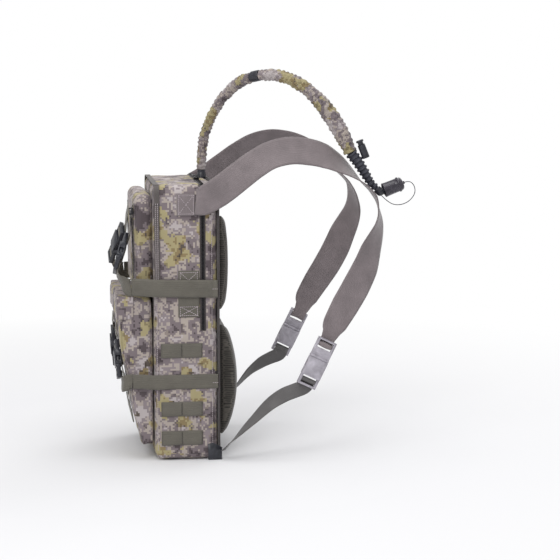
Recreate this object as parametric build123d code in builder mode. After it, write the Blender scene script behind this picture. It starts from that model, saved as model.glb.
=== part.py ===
"""Hunting daypack with webbing grid, compression straps and a hydration hose.

Millimetres. Z is up, +Y is towards the wearer's back, +X is the wearer's right.
The origin is the centre of the flat bottom that the pack stands on.
"""

import os
from math import cos, radians, sin, tan

from build123d import *

os.makedirs("parts", exist_ok=True)

# Driving dimensions
pack_width = 238
pack_depth = 110
pack_height = 475
shell_wall = 3
edge_radius = 14

panel_thickness = 3
pad_width = 184
upper_pad_rise = 14
lower_pad_rise = 31

lower_pocket_width = 216
lower_pocket_base = 25
lower_pocket_top = 283
upper_pocket_width = 200
upper_pocket_depth = 32
upper_pocket_top = 458
pocket_wall = 2
pocket_seam_gap = 5
flap_thickness = 2.5
flap_drop = 42

zipper_centre = 28.5
zipper_tape_width = 10
zipper_chain_width = 5
zipper_end_height = 226
tape_thickness = 1
chain_thickness = 2

grid_pitch = 50.8
grid_webbing = 25
webbing_thickness = 1.6
strap_webbing = 30
shoulder_webbing = 50
shoulder_thickness = 2.4

buckle_wall = 2
buckle_clearance = 0.5
frame_thickness = 7
bar_thickness = 3.5
bar_length = 4
slot_length = 5
seam_gap = 0.3

hose_diameter = 14
inner_hose_diameter = 10
tether_diameter = 1.4
cap_diameter = 25
cap_length = 36

pad_lip = 8
lower_pad_base = 28
lower_pad_top = 236
upper_pad_base = 248
upper_pad_top = 424

loop_width = 92
loop_height = 38
loop_top = 470
loop_radius = 14
loop_webbing = 20

sleeve_width = 204
sleeve_height = 250
sleeve_base = 3
sleeve_front = 14
reservoir_width = 160
reservoir_height = 330
reservoir_depth = 12
reservoir_radius = 24
fill_cap_diameter = 62
fill_cap_height = 12
fill_offset = 40
outlet_x = 0
outlet_z = 34
outlet_diameter = 26
outlet_reach = 12
outlet_barb = 24

port_place = (-50, 43.5)
port_bore = 15
port_diameter = 18
port_height = 10
joiner_length = 16
elbow_place = (120, 334, 460)
elbow_radius = 6.8
elbow_reach = 8
valve_rise = 21
cap_setback = 7
valve_radius = 7
valve_offset = 5
valve_collar = 8
toggle_place = (121.3, 300.5, 541.3)
toggle_radius = 6.5
toggle_length = 24
toggle_stroke = 5

slider_length = 12
slider_width = 9
slider_plate = 1.5
slider_parting = 9
pull_length = 26
pull_width = 8
pull_thickness = 1
pull_eye = 5
pocket_zip_x = 90
pocket_zip_base = 312
pocket_zip_top = 440
pocket_slider_height = 430

first_row = 40
side_row_front = -44
side_row_rear = 27
side_row_steps = (0, 1, 3)
front_rows = 2
front_row_start = -28
front_row_length = 150
patch_centre = 4.5
patch_width = 36
patch_base = 250
patch_top = 330
anchor_centre = (0.5, 442.5)
anchor_size = (31, 37)
anchor_thickness = 2.8
foot_patch = [(36, 0), (60, 0), (60, 22), (44, 30), (36, 28)]

buckle_side = 4.2
end_bar = 3.5
frame_length = 19
socket_share = 0.36
guide_width = 7
prong_width = 4.5
compression_buckle_length = 66
compression_buckle_thickness = 12
shoulder_buckle_length = 87
shoulder_buckle_thickness = 13

# Derived places
side = pack_width / 2
front = -pack_depth / 2
rear = pack_depth / 2
pad_seat = rear + panel_thickness
upper_pocket_base = lower_pocket_top + pocket_seam_gap
upper_pocket_front = front - upper_pocket_depth
# the lower pocket's front leans out from its foot to its flap
pocket_front = [(-78, lower_pocket_base), (-93.5, 100), (-114, 225), (-112, 262)]


def save(piece, label):
    piece.part.label = label
    export_step(piece.part, f"parts/{label}.step")


def save_pair(piece, label):
    """Write the right-hand piece and its mirror image on the left."""
    save(piece, f"{label}_right")
    with BuildPart() as twin:
        mirror(piece.part, about=Plane.YZ)
    save(twin, f"{label}_left")


def with_twin(piece):
    """Both sides' copies of a small identical piece, as separate solids of one node."""
    with BuildPart() as both:
        add(piece.part)
        mirror(piece.part, about=Plane.YZ)
    return both


def webbing(stations, thickness):
    """A flat strip through (centre, width direction, width) stations."""
    centres = [Vector(*centre) for centre, _, _ in stations]
    with BuildPart() as strip:
        for index, (_, across, width) in enumerate(stations):
            before = centres[max(index - 1, 0)]
            after = centres[min(index + 1, len(centres) - 1)]
            cut = Plane(centres[index], x_dir=across, z_dir=after - before)
            with BuildSketch(cut):
                Rectangle(width, thickness)
        loft(ruled=True)
    return strip


# ---------------------------------------------------------------- pack body
def arch(inset, base):
    """The pack's front outline, drawn in the current sketch and shrunk by inset."""
    width = pack_width - 2 * inset
    height = pack_height - inset - base
    with Locations((0, base + height / 2)):
        Rectangle(width, height)
    top_corners = vertices().group_by(Axis.Y)[-1]
    fillet(top_corners, edge_radius - min(inset, edge_radius - 1))


def rounded_front(inset):
    """The pack's front outline with all four corners rounded."""
    arch(inset, inset)
    fillet(vertices().group_by(Axis.Y)[0], edge_radius - inset)


rear_plane = Plane.XZ.offset(-rear)
def rounded_block(inset):
    """The pack's solid form with its front rim rounded, shrunk by inset."""
    with BuildPart() as block:
        with BuildSketch(rear_plane):
            rounded_front(inset)
        extrude(amount=pack_depth - inset)
        fillet(faces().sort_by(Axis.Y)[0].edges(), edge_radius - 1 - inset)
    return block


with BuildPart() as main_compartment:
    add(rounded_block(0).part)
    add(rounded_block(shell_wall).part, mode=Mode.SUBTRACT)
    with BuildSketch(Plane.XY.offset(pack_height)):
        with Locations(port_place):
            Circle(port_bore / 2)
    extrude(amount=-shell_wall, mode=Mode.SUBTRACT)
save(main_compartment, "main_compartment")

with BuildPart() as back_panel:
    with BuildSketch(rear_plane):
        rounded_front(0)
    extrude(amount=-panel_thickness)
save(back_panel, "back_panel")


def back_cushion(base, top, rise):
    """A crowned pad on the back panel: flat behind, one long arc in front."""
    lip = pad_seat + pad_lip
    with BuildPart() as cushion:
        with BuildSketch(Plane.YZ.offset(-pad_width / 2)):
            with BuildLine():
                Polyline((lip, top), (pad_seat, top), (pad_seat, base), (lip, base))
                ThreePointArc((lip, base), (pad_seat + rise, (base + top) / 2), (lip, top))
            make_face()
        extrude(amount=pad_width)
        fillet(edges().filter_by(Axis.Y), pad_lip - 1)
    return cushion


save(back_cushion(lower_pad_base, lower_pad_top, lower_pad_rise), "back_pad_lower")
save(back_cushion(upper_pad_base, upper_pad_top, upper_pad_rise), "back_pad_upper")

# a thin upright cuff of webbing that hangs behind the top edge and swings up
with BuildPart() as haul_loop:
    with BuildSketch(Plane.XZ.offset(-(pad_seat + seam_gap))):
        with Locations((0, loop_top - loop_height / 2)):
            RectangleRounded(loop_width, loop_height, loop_radius)
            RectangleRounded(
                loop_width - 2 * shoulder_thickness,
                loop_height - 2 * shoulder_thickness,
                loop_radius - shoulder_thickness,
                mode=Mode.SUBTRACT,
            )
    extrude(amount=-loop_webbing)
save(haul_loop, "haul_loop")

# ---------------------------------------------------------------- hydration
with BuildPart() as hydration_sleeve:
    with BuildSketch(Plane.XY.offset(sleeve_base)):
        with Locations((0, (sleeve_front + rear) / 2)):
            Rectangle(sleeve_width, rear - sleeve_front)
    extrude(amount=sleeve_height)
    with BuildSketch(Plane.XY.offset(sleeve_base + pocket_wall)):
        with Locations((0, (sleeve_front + pocket_wall + rear) / 2)):
            Rectangle(sleeve_width - 2 * pocket_wall, rear - sleeve_front - pocket_wall)
    extrude(amount=sleeve_height, mode=Mode.SUBTRACT)
save(hydration_sleeve, "hydration_sleeve")

reservoir_base = sleeve_base + pocket_wall + seam_gap
reservoir_face = rear - seam_gap - reservoir_depth
with BuildPart() as reservoir:
    with BuildSketch(Plane.XZ.offset(-reservoir_face)):
        with Locations((0, reservoir_base + reservoir_height / 2)):
            RectangleRounded(reservoir_width, reservoir_height, reservoir_radius)
    extrude(amount=-reservoir_depth)
save(reservoir, "reservoir")

fill_height = reservoir_base + reservoir_height - reservoir_radius - 8
with BuildPart() as reservoir_cap:
    with BuildSketch(Plane.XZ.offset(-(reservoir_face - seam_gap))):
        with Locations((fill_offset, fill_height)):
            Circle(fill_cap_diameter / 2)
            with PolarLocations(fill_cap_diameter / 2, 16):
                Circle(1.5, mode=Mode.SUBTRACT)
    extrude(amount=fill_cap_height)
save(reservoir_cap, "reservoir_cap")

# the outlet disc carries a hose barb that points up inside the sleeve
outlet_y = reservoir_face - outlet_reach
with BuildPart() as reservoir_outlet:
    with BuildSketch(Plane.XZ.offset(-reservoir_face)):
        with Locations((outlet_x, outlet_z)):
            Circle(outlet_diameter / 2)
    extrude(amount=outlet_reach / 2)
    with BuildSketch(Plane.XZ.offset(-reservoir_face)):
        with Locations((outlet_x, outlet_z)):
            Circle(inner_hose_diameter / 2)
    extrude(amount=outlet_reach)
    with BuildSketch(Plane.XY.offset(outlet_z)):
        with Locations((outlet_x, outlet_y)):
            Circle(inner_hose_diameter / 2)
    extrude(amount=outlet_barb)
    with Locations((outlet_x, outlet_y, outlet_z)):
        Sphere(inner_hose_diameter / 2)
save(reservoir_outlet, "reservoir_outlet")


def tube(route, diameter, name):
    """A round tube on straight runs and the largest tangent arcs that fit them."""
    points = [Vector(*point) for point in route]
    runs = [after - before for before, after in zip(points, points[1:])]
    radii = []
    for near, far in zip(runs, runs[1:]):
        half_turn = radians(near.get_angle(far) / 2)
        radii.append(0.45 * min(near.length, far.length) / tan(half_turn))
    with BuildPart() as cord:
        with BuildLine() as path:
            FilletPolyline(*points, radius=radii)
        with BuildSketch(Plane(points[0], z_dir=runs[0])):
            Circle(diameter / 2)
        sweep()
    length = path.wires()[0].length
    expected = length * 3.14159265 * diameter**2 / 4
    print(name, "length", round(length, 1), "radii", [round(r) for r in radii])
    print(name, "volume share", round(cord.part.volume / expected, 4))
    return cord


port_top = pack_height + port_height
inner_route = [
    (outlet_x, outlet_y, outlet_z + outlet_barb),
    (outlet_x, outlet_y, 100),
    (14, 30, 165),
    (12, 32, 245),
    (-6, 34, 325),
    (-38, 39, 392),
    (port_place[0], port_place[1], 442),
    (port_place[0], port_place[1], port_top),
]
inner_hose = tube(inner_route, inner_hose_diameter, "inner hose")
save(inner_hose, "inner_hose")

with BuildPart() as hose_port:
    with BuildSketch(Plane.XY.offset(pack_height - shell_wall)):
        with Locations(port_place):
            Circle(port_bore / 2)
    extrude(amount=shell_wall)
    with BuildSketch(Plane.XY.offset(pack_height)):
        with Locations(port_place):
            Circle(port_diameter / 2)
    extrude(amount=port_height, taper=12)
    with BuildSketch(Plane.XY.offset(port_top)):
        with Locations(port_place):
            Circle(inner_hose_diameter / 2 + 0.4)
    extrude(amount=-port_height - shell_wall, mode=Mode.SUBTRACT)
save(hose_port, "hose_port")

# the insulated hose: out of the port, over the right shoulder, down the chest
hose_route = [
    (port_place[0], port_place[1], port_top),
    (port_place[0], port_place[1], 512),
    (-44, 46, 538),
    (-35, 51.5, 564),
    (-23, 62, 590),
    (-9, 75, 614),
    (8, 89.5, 633),
    (27, 104.5, 646),
    (46, 119, 654),
    (63, 138, 659),
    (78, 160, 659),
    (91, 182, 653),
    (101, 205, 640),
    (107.5, 227, 620),
    (111.5, 246.5, 595),
    (114, 263.5, 568),
    (116, 275.5, 545),
    (117, 284, 527),
]
hydration_hose = tube(hose_route, hose_diameter, "hydration hose")
save(hydration_hose, "hydration_hose")

joiner_at = Vector(*hose_route[8]) * 0.5 + Vector(*hose_route[9]) * 0.5
joiner_plane = Plane(joiner_at, z_dir=Vector(*hose_route[9]) - Vector(*hose_route[8]))
with BuildPart() as hose_joiner:
    with BuildSketch(joiner_plane):
        Circle(hose_diameter / 2 + 2.5)
        Circle(hose_diameter / 2 + 0.4, mode=Mode.SUBTRACT)
    extrude(amount=joiner_length / 2, both=True)
save(hose_joiner, "hose_joiner")

# ribbed boot between the hose's end and the mouthpiece elbow
boot_route = [hose_route[-1], (117.5, 294, 514.5), (118, 306, 496), (119, 318, 475.5)]
boot_stops = [Vector(*point) for point in boot_route + [elbow_place]]
boot_radii = [9.5, 9.2, 8.4, 6.6, 5.6]
hose_heading = (Vector(*hose_route[-1]) - Vector(*hose_route[-2])).normalized()
with BuildPart() as ribbed_boot:
    for index, stop in enumerate(boot_stops):
        before = boot_stops[max(index - 1, 0)]
        after = boot_stops[min(index + 1, len(boot_stops) - 1)]
        heading = (after - before).normalized() if index else hose_heading
        centre = stop - heading * elbow_reach if index == len(boot_stops) - 1 else stop
        with BuildSketch(Plane(centre, z_dir=heading)):
            Circle(boot_radii[index])
    loft(ruled=True)
save(ribbed_boot, "ribbed_boot")

boot_axis = (boot_stops[4] - boot_stops[3]).normalized()
valve_axis = Vector(0, cos(radians(valve_rise)), sin(radians(valve_rise)))
elbow_centre = Vector(*elbow_place)
cap_start = elbow_centre + valve_axis * cap_setback
with BuildPart() as valve_elbow:
    with BuildSketch(Plane(elbow_centre - boot_axis * (elbow_reach - seam_gap), z_dir=boot_axis)):
        Circle(elbow_radius)
    extrude(amount=elbow_reach - seam_gap)
    with BuildSketch(Plane(elbow_centre, z_dir=valve_axis)):
        Circle(elbow_radius - 0.5)
    extrude(amount=cap_setback + valve_offset)
    with Locations(elbow_centre):
        Sphere(elbow_radius)
save(valve_elbow, "valve_elbow")

with BuildPart() as bite_valve:
    with BuildSketch(Plane(cap_start + valve_axis * valve_offset, z_dir=valve_axis)):
        Circle(valve_radius)
    extrude(amount=valve_collar)
    lip_start = cap_start + valve_axis * (valve_offset + valve_collar)
    with BuildSketch(Plane(lip_start, z_dir=valve_axis)):
        Ellipse(valve_radius + 1, valve_radius - 1.5)
    extrude(amount=cap_length - 20)
save(bite_valve, "bite_valve")

with BuildPart() as bite_valve_cap:
    with BuildSketch(Plane(cap_start, z_dir=valve_axis)):
        Circle(cap_diameter / 2)
    extrude(amount=cap_length)
    fillet(edges().sort_by(Axis.Y)[-1], 3)
    with BuildSketch(Plane(cap_start, z_dir=valve_axis)):
        Circle(cap_diameter / 2 - 2)
    extrude(amount=cap_length - 3, mode=Mode.SUBTRACT)
save(bite_valve_cap, "bite_valve_cap")

cap_tip = cap_start + valve_axis * cap_length
elbow_heel = elbow_centre + Vector(0, 0.45, -0.893) * (elbow_radius + 0.4)
tether_route = [
    cap_tip,
    cap_tip + valve_axis * 11,
    cap_tip + Vector(0.5, 20, -4),
    cap_tip + Vector(1, 22, -19),
    cap_tip + Vector(1, 9, -34),
    cap_tip + Vector(0.5, -9, -39),
    cap_tip + Vector(0, -25, -34),
    elbow_heel,
]
cap_tether = tube(tether_route, tether_diameter, "cap tether")
save(cap_tether, "cap_tether")

# toggle that cinches the hose cover's hem
toggle_axis = Vector(0, 0.37, -0.93).normalized()
toggle_at = Vector(*toggle_place)
with BuildPart() as cord_lock_body:
    with BuildSketch(Plane(toggle_at, z_dir=toggle_axis)):
        Circle(toggle_radius)
    extrude(amount=toggle_length)
    with BuildSketch(Plane(toggle_at, z_dir=toggle_axis)):
        Circle(toggle_radius - 1.5)
    extrude(amount=toggle_length - 3, mode=Mode.SUBTRACT)
save(cord_lock_body, "cord_lock_body")

with BuildPart() as cord_lock_plunger:
    with BuildSketch(Plane(toggle_at - toggle_axis * (toggle_stroke + 3), z_dir=toggle_axis)):
        Circle(toggle_radius)
    extrude(amount=3)
    with BuildSketch(Plane(toggle_at - toggle_axis * toggle_stroke, z_dir=toggle_axis)):
        Circle(toggle_radius - 1.5 - seam_gap)
    extrude(amount=toggle_length - 4)
save(cord_lock_plunger, "cord_lock_plunger")

# ---------------------------------------------------------------- front pockets
def upper_block(inset):
    """The upper pocket's solid form, shrunk by inset and open to the pack."""
    width = upper_pocket_width - 2 * inset
    height = upper_pocket_top - upper_pocket_base - 2 * inset
    with BuildPart() as block:
        with BuildSketch(Plane.XZ.offset(-front)):
            with Locations((0, (upper_pocket_base + upper_pocket_top) / 2)):
                RectangleRounded(width, height, edge_radius - inset)
        extrude(amount=upper_pocket_depth - inset)
        fillet(faces().sort_by(Axis.Y)[0].edges(), edge_radius - 4 - inset)
    return block


with BuildPart() as upper_pocket:
    add(upper_block(0).part)
    add(upper_block(pocket_wall).part, mode=Mode.SUBTRACT)
save(upper_pocket, "upper_pocket")

pocket_outline = [(front, lower_pocket_base), *pocket_front]
pocket_outline += [(front - 46, lower_pocket_top), (front, lower_pocket_top)]
with BuildPart() as lower_pocket:
    with BuildSketch(Plane.YZ.offset(-lower_pocket_width / 2)):
        with BuildLine():
            Polyline(*pocket_outline, close=True)
        make_face()
    extrude(amount=lower_pocket_width)
    fillet(edges().filter_by(GeomType.LINE).group_by(Axis.Y)[0].filter_by(Axis.X), 2)
    with BuildSketch(Plane.YZ.offset(-lower_pocket_width / 2 + pocket_wall)):
        with BuildLine():
            Polyline(*pocket_outline, close=True)
        make_face()
        offset(amount=-pocket_wall, kind=Kind.INTERSECTION)
        with Locations((front, (lower_pocket_base + lower_pocket_top) / 2)):
            Rectangle(3 * pocket_wall, lower_pocket_top - lower_pocket_base - 2 * pocket_wall)
    extrude(amount=lower_pocket_width - 2 * pocket_wall, mode=Mode.SUBTRACT)
save(lower_pocket, "lower_pocket")

# the flap is a shallow cap over the lower pocket's top, open behind and below
flap_front = pocket_front[2][0]
flap_width = lower_pocket_width + 2 * (flap_thickness + seam_gap)
flap_top = lower_pocket_top + seam_gap + flap_thickness
flap_rear = upper_pocket_front - seam_gap
flap_reach = flap_rear - flap_front + seam_gap
with BuildPart() as pocket_flap:
    with BuildSketch(Plane.XY.offset(flap_top)):
        with Locations((0, flap_rear - (flap_reach + flap_thickness) / 2)):
            Rectangle(flap_width, flap_reach + flap_thickness)
    extrude(amount=-flap_drop)
    fillet(edges().filter_by(Axis.Z).group_by(Axis.Y)[0], flap_thickness)
    with BuildSketch(Plane.XY.offset(flap_top - flap_thickness)):
        with Locations((0, flap_rear - flap_reach / 2)):
            Rectangle(flap_width - 2 * flap_thickness, flap_reach)
    extrude(amount=-flap_drop, mode=Mode.SUBTRACT)
save(pocket_flap, "pocket_flap")

# ---------------------------------------------------------------- zippers
def arch_band(place, width, thickness, base, start):
    """A band that lies on the pack's sides and top, start above its surface."""
    with BuildPart() as band:
        with BuildSketch(Plane.XZ.offset(-place)):
            with BuildSketch(mode=Mode.PRIVATE) as outer:
                arch(-start - thickness, base)
            with BuildSketch(mode=Mode.PRIVATE) as inner:
                arch(-start, base)
            add(outer.sketch)
            add(inner.sketch, mode=Mode.SUBTRACT)
        extrude(amount=width / 2, both=True)
    return band


zipper_tape = arch_band(zipper_centre, zipper_tape_width, tape_thickness, zipper_end_height, 0)
save(zipper_tape, "main_zipper_tape")
zipper_chain = arch_band(
    zipper_centre, zipper_chain_width, chain_thickness, zipper_end_height, tape_thickness
)
save(zipper_chain, "main_zipper_chain")
save(arch_band(front + 6, 9, tape_thickness, flap_top + 12, 0), "front_piping")

chain_top = pack_height + tape_thickness + chain_thickness
pull_height = slider_plate + seam_gap + 1.25


def slider_body(seat):
    """A zipper slider over its chain: a plate with side rails and a bail on top."""
    rail_gap = zipper_chain_width + 2 * seam_gap
    with BuildPart(seat) as slider:
        with Locations((0, 0, slider_plate / 2 + seam_gap)):
            Box(slider_length, slider_width, slider_plate)
        with Locations((0, 0, seam_gap - chain_thickness / 2)):
            Box(slider_length, slider_width, chain_thickness)
            Box(slider_length, rail_gap, chain_thickness, mode=Mode.SUBTRACT)
        for end in (-1, 1):
            with Locations((end * (slider_length / 2 - 1), 0, slider_plate + seam_gap + 1.25)):
                Box(2, 3, 2.5)
        with Locations((0, 0, slider_plate + seam_gap + 3)):
            Box(slider_length, 3, 1)
    return slider


def pull_tab(seat):
    """A pull whose end bar lies under the bail; the tab points along the seat's X."""
    with BuildPart(seat) as pull:
        with Locations((pull_length / 2 - 1, 0, pull_height)):
            Box(pull_length, pull_width, pull_thickness)
        with Locations((1 + slider_length / 2, 0, pull_height)):
            Box(slider_length, pull_eye, 2 * pull_thickness, mode=Mode.SUBTRACT)
    return pull


top_slider_seat = Plane((slider_parting, zipper_centre, chain_top), z_dir=(0, 0, 1), x_dir=(1, 0, 0))
save_pair(slider_body(top_slider_seat), "main_zipper_slider")
save_pair(pull_tab(top_slider_seat), "main_zipper_pull")

# upper pocket zipper: a chain down the front near the right edge
with BuildPart() as pocket_zipper:
    with BuildSketch(Plane.XZ.offset(-upper_pocket_front)):
        with Locations((pocket_zip_x, (pocket_zip_base + pocket_zip_top) / 2)):
            Rectangle(zipper_chain_width, pocket_zip_top - pocket_zip_base)
    extrude(amount=chain_thickness)
save(pocket_zipper, "pocket_zipper_chain")

pocket_seat = Plane(
    (pocket_zip_x, upper_pocket_front - chain_thickness, pocket_slider_height),
    x_dir=(0, 0, -1),
    z_dir=(0, -1, 0),
)
save(slider_body(pocket_seat), "pocket_zipper_slider")
save(pull_tab(pocket_seat), "pocket_zipper_pull")

# ---------------------------------------------------------------- webbing grid
def side_row(height, width):
    """One row of grid webbing on the right side panel, centred at a height."""
    with BuildPart() as row:
        with BuildSketch(Plane.YZ.offset(side)):
            with Locations(((side_row_front + side_row_rear) / 2, height)):
                Rectangle(side_row_rear - side_row_front, width)
        extrude(amount=webbing_thickness)
    return row


with BuildPart() as side_grid:
    for step in side_row_steps:
        add(side_row(first_row + step * grid_pitch, grid_webbing).part)
save(with_twin(side_grid), "side_grid_webbing")

# front rows lie on the slanted face between the pocket's foot and its belly
knee, belly = (Vector(0, *corner) for corner in pocket_front[1:3])
belly_slope = (belly - knee).normalized()
with BuildPart() as front_grid:
    for step in range(front_rows):
        place = knee + belly_slope * (front_row_start + step * grid_pitch)
        with BuildSketch(Plane(place, x_dir=(1, 0, 0), z_dir=belly_slope.cross(Vector(-1, 0, 0)))):
            Rectangle(front_row_length, grid_webbing)
        extrude(amount=webbing_thickness)
save(front_grid, "front_grid_webbing")

with BuildPart() as side_patch:
    with BuildSketch(Plane.YZ.offset(side)):
        with Locations((patch_centre, (patch_base + patch_top) / 2)):
            Rectangle(patch_width, patch_top - patch_base)
    extrude(amount=webbing_thickness)
save(with_twin(side_patch), "side_patches")

# ---------------------------------------------------------------- buckles
def draw_frame(webbing_width, start, end):
    """Add a two-slot webbing frame from start to end along the current part's Z."""
    width = webbing_width + 2 * (buckle_side + seam_gap)
    direction = 1 if end > start else -1
    bar_at = end - direction * (end_bar + slot_length + bar_length / 2)
    opening = webbing_width + 2 * seam_gap
    with Locations((0, 0, (start + end) / 2)):
        Box(width, frame_thickness, abs(end - start))
    with Locations((0, 0, bar_at)):
        Box(opening, frame_thickness, bar_length + 2 * slot_length, mode=Mode.SUBTRACT)
        Box(opening, bar_thickness, bar_length)
    return bar_at


def bar_wrap(seat, webbing_width, bar_at, thickness):
    """The webbing's turn round a frame's bar, with its thicker run on the back."""
    inside = bar_thickness / 2 + seam_gap
    outside = inside + thickness
    back = outside + thickness
    length = bar_length + 2 * (seam_gap + thickness)
    with BuildPart(seat) as wrap:
        with Locations((0, (outside - back) / 2, bar_at)):
            Box(webbing_width, outside + back, length)
        with Locations((0, 0, bar_at)):
            Box(webbing_width, 2 * inside, bar_length + 2 * seam_gap, mode=Mode.SUBTRACT)
    return wrap


def wrap_run(seat, bar_at, thickness):
    """Centre of the webbing where it leaves the wrap behind the frame."""
    depth = bar_thickness / 2 + seam_gap + 1.5 * thickness
    return seat.from_local_coords(Vector(0, -depth, bar_at))


def frame_exit(seat, bar_at, end, thickness):
    """Centre of the webbing just outside the frame's end, clear of its back."""
    depth = frame_thickness / 2 + seam_gap + thickness / 2 + 0.3
    beyond = 3 if end > bar_at else -3
    return seat.from_local_coords(Vector(0, -depth, end + beyond))


def socket_half(seat, webbing_width, length, thickness):
    """Female half: a socket at Z=0 with side windows, and a webbing frame behind."""
    width = webbing_width + 2 * (buckle_side + seam_gap)
    depth = length * socket_share
    with BuildPart(seat) as half:
        bar_at = draw_frame(webbing_width, depth, depth + frame_length)
        with Locations((0, 0, (depth + 1.5) / 2)):
            Box(width, thickness, depth + 1.5)
        with Locations((0, 0, depth / 2)):
            Box(width - 2 * buckle_wall, thickness - 2 * buckle_wall, depth, mode=Mode.SUBTRACT)
        with Locations((0, 0, depth * 0.45)):
            Box(width + 2, thickness - 2 * buckle_wall - 1, depth * 0.35, mode=Mode.SUBTRACT)
    return half, bar_at


def prong_half_reach(length):
    """How far the male half stands out of the socket."""
    return length * (1 - socket_share) - frame_length


def prong_half(seat, webbing_width, length, thickness):
    """Male half: a frame behind Z=0 and a guide with two prongs in the socket."""
    width = webbing_width + 2 * (buckle_side + seam_gap)
    depth = length * socket_share
    tongue = thickness - 2 * (buckle_wall + buckle_clearance)
    prong_x = width / 2 - buckle_wall - buckle_clearance - prong_width / 2
    reach = depth - buckle_clearance
    with BuildPart(seat) as half:
        bar_at = draw_frame(webbing_width, -seam_gap, -prong_half_reach(length))
        with Locations((0, 0, -seam_gap - 2)):
            Box(width, thickness - 2, 4)
        with Locations((0, 0, reach / 2 - 1)):
            Box(guide_width, tongue, reach)
        for turn in (-1, 1):
            with Locations((turn * prong_x, 0, reach / 2 - 2)):
                Box(prong_width, tongue, reach - 2)
    return half, bar_at


def buckle_seat(male_end, heading, outward, length):
    """A frame at the joint line: Z from the male to the female, Y outwards."""
    along = Vector(*heading).normalized()
    across = Vector(*outward).cross(along).normalized()
    origin = Vector(*male_end) + along * prong_half_reach(length)
    return Plane(origin, x_dir=across, z_dir=along)


# ---------------------------------------------------------------- compression straps
strap_lift = side + webbing_thickness / 2 + 0.25
strap_over_zipper = side + tape_thickness + chain_thickness + 1.3
outer_corner = flap_width / 2 + 1.8
vertical = (0, 0, -1)

upper_run = webbing(
    [
        ((strap_lift, 54, 298), vertical, strap_webbing),
        ((strap_lift, 44, 298), vertical, strap_webbing),
        ((strap_over_zipper, 36, 299), vertical, strap_webbing),
        ((strap_over_zipper, -18, 300), vertical, strap_webbing),
        ((strap_lift + 1.6, -52, 301), vertical, strap_webbing),
        ((outer_corner + 3.5, -80, 302.2), vertical, strap_webbing),
        ((outer_corner, -92.5, 302.2), vertical, strap_webbing),
    ],
    webbing_thickness,
)
save(with_twin(upper_run), "upper_compression_straps")

lower_run = webbing(
    [
        ((strap_lift, 54, 138), vertical, grid_webbing),
        ((strap_lift, -20, 138), vertical, grid_webbing),
        ((strap_lift, -54, 138), vertical, grid_webbing),
        ((outer_corner + 3, -76, 139.2), vertical, grid_webbing),
        ((outer_corner, -91.5, 139.2), vertical, grid_webbing),
    ],
    webbing_thickness,
)
save(with_twin(lower_run), "lower_compression_straps")


def strap_end(seat, bar_at, frame_end, width, thickness, corner):
    """Webbing from a frame's bar, behind the frame and on through corner stations."""
    across = tuple(seat.x_dir)
    stations = [
        (tuple(wrap_run(seat, bar_at, thickness)), across, width),
        (tuple(frame_exit(seat, bar_at, frame_end, thickness)), across, width),
        *corner,
    ]
    with BuildPart() as end:
        add(bar_wrap(seat, width, bar_at, thickness).part)
        add(webbing(stations, thickness).part)
    return end


def clip(name, male_end, heading, outward, size, male_corner, female_corner):
    """A side-release buckle pair with the webbing on both of its frames."""
    width, length, thickness, strap = size
    seat = buckle_seat(male_end, heading, outward, length)
    male, male_bar = prong_half(seat, width, length, thickness)
    female, female_bar = socket_half(seat, width, length, thickness)
    save_pair(male, f"{name}_buckle_male")
    male_limit = -prong_half_reach(length)
    female_limit = length * socket_share + frame_length
    male_strap = strap_end(seat, male_bar, male_limit, width, strap, male_corner)
    female_strap = strap_end(seat, female_bar, female_limit, width, strap, female_corner)
    print(name, "joint", seat.origin, "axis", seat.z_dir)
    return female, male_strap, female_strap


# upper pair: lean against the upper pocket's front, low end over the flap
upper_female, upper_strap, upper_tab = clip(
    "upper",
    (90, -119, 328),
    (-26, 22, 58),
    (0, -1, 0),
    (strap_webbing, compression_buckle_length, compression_buckle_thickness, webbing_thickness),
    [
        ((98.5, -110.5, 314), (-0.75, 0.1, -0.6), strap_webbing),
        ((106.5, -102.5, 306), (-0.35, -0.1, -0.9), strap_webbing),
        ((outer_corner - 1.5, -97, 302.2), (-0.1, -0.1, -0.99), strap_webbing),
        ((outer_corner, -93.3, 302.2), vertical, strap_webbing),
    ],
    [
        ((57.5, upper_pocket_front - 3.5, 404), (-1, 0, -0.4), strap_webbing),
        ((51, upper_pocket_front - webbing_thickness / 2, 419), (-1, 0, -0.4), strap_webbing),
        ((47, upper_pocket_front - webbing_thickness / 2, 430), (-1, 0, -0.4), strap_webbing),
    ],
)
save(with_twin(upper_female), "upper_buckle_females")
save_pair(upper_strap, "upper_strap_end")

# lower pair: upright on the lower pocket's front, below the flap
lower_female, lower_strap, lower_tab = clip(
    "lower",
    (80, -113.7, 140),
    (-18, -2.9, 60),
    (0, -1, 0),
    (grid_webbing, compression_buckle_length, compression_buckle_thickness, webbing_thickness),
    [
        ((92, -108.5, 131.5), (-0.85, -0.1, -0.5), grid_webbing),
        ((104, -106.5, 133.5), (-0.45, -0.2, -0.85), grid_webbing),
        ((outer_corner - 1, -100, 139.2), (-0.1, -0.1, -0.99), grid_webbing),
        ((outer_corner, -92.2, 139.2), vertical, grid_webbing),
    ],
    [
        ((57.5, -117, 214), (-1, 0, -0.3), grid_webbing),
        ((54.5, -116.9, 224), (-1, 0, -0.3), grid_webbing),
        ((52, -116.5, 232), (-1, 0, -0.3), grid_webbing),
    ],
)
save(with_twin(lower_female), "lower_buckle_females")
save_pair(lower_strap, "lower_strap_end")

with BuildPart() as tabs:
    add(upper_tab.part)
    add(lower_tab.part)
save(with_twin(tabs), "buckle_tabs")

# ---------------------------------------------------------------- shoulder straps
with BuildPart() as shoulder_anchor:
    with BuildSketch(Plane.YZ.offset(side)):
        with Locations(anchor_centre):
            Rectangle(*anchor_size)
    extrude(amount=anchor_thickness)
save(with_twin(shoulder_anchor), "shoulder_anchors")

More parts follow.
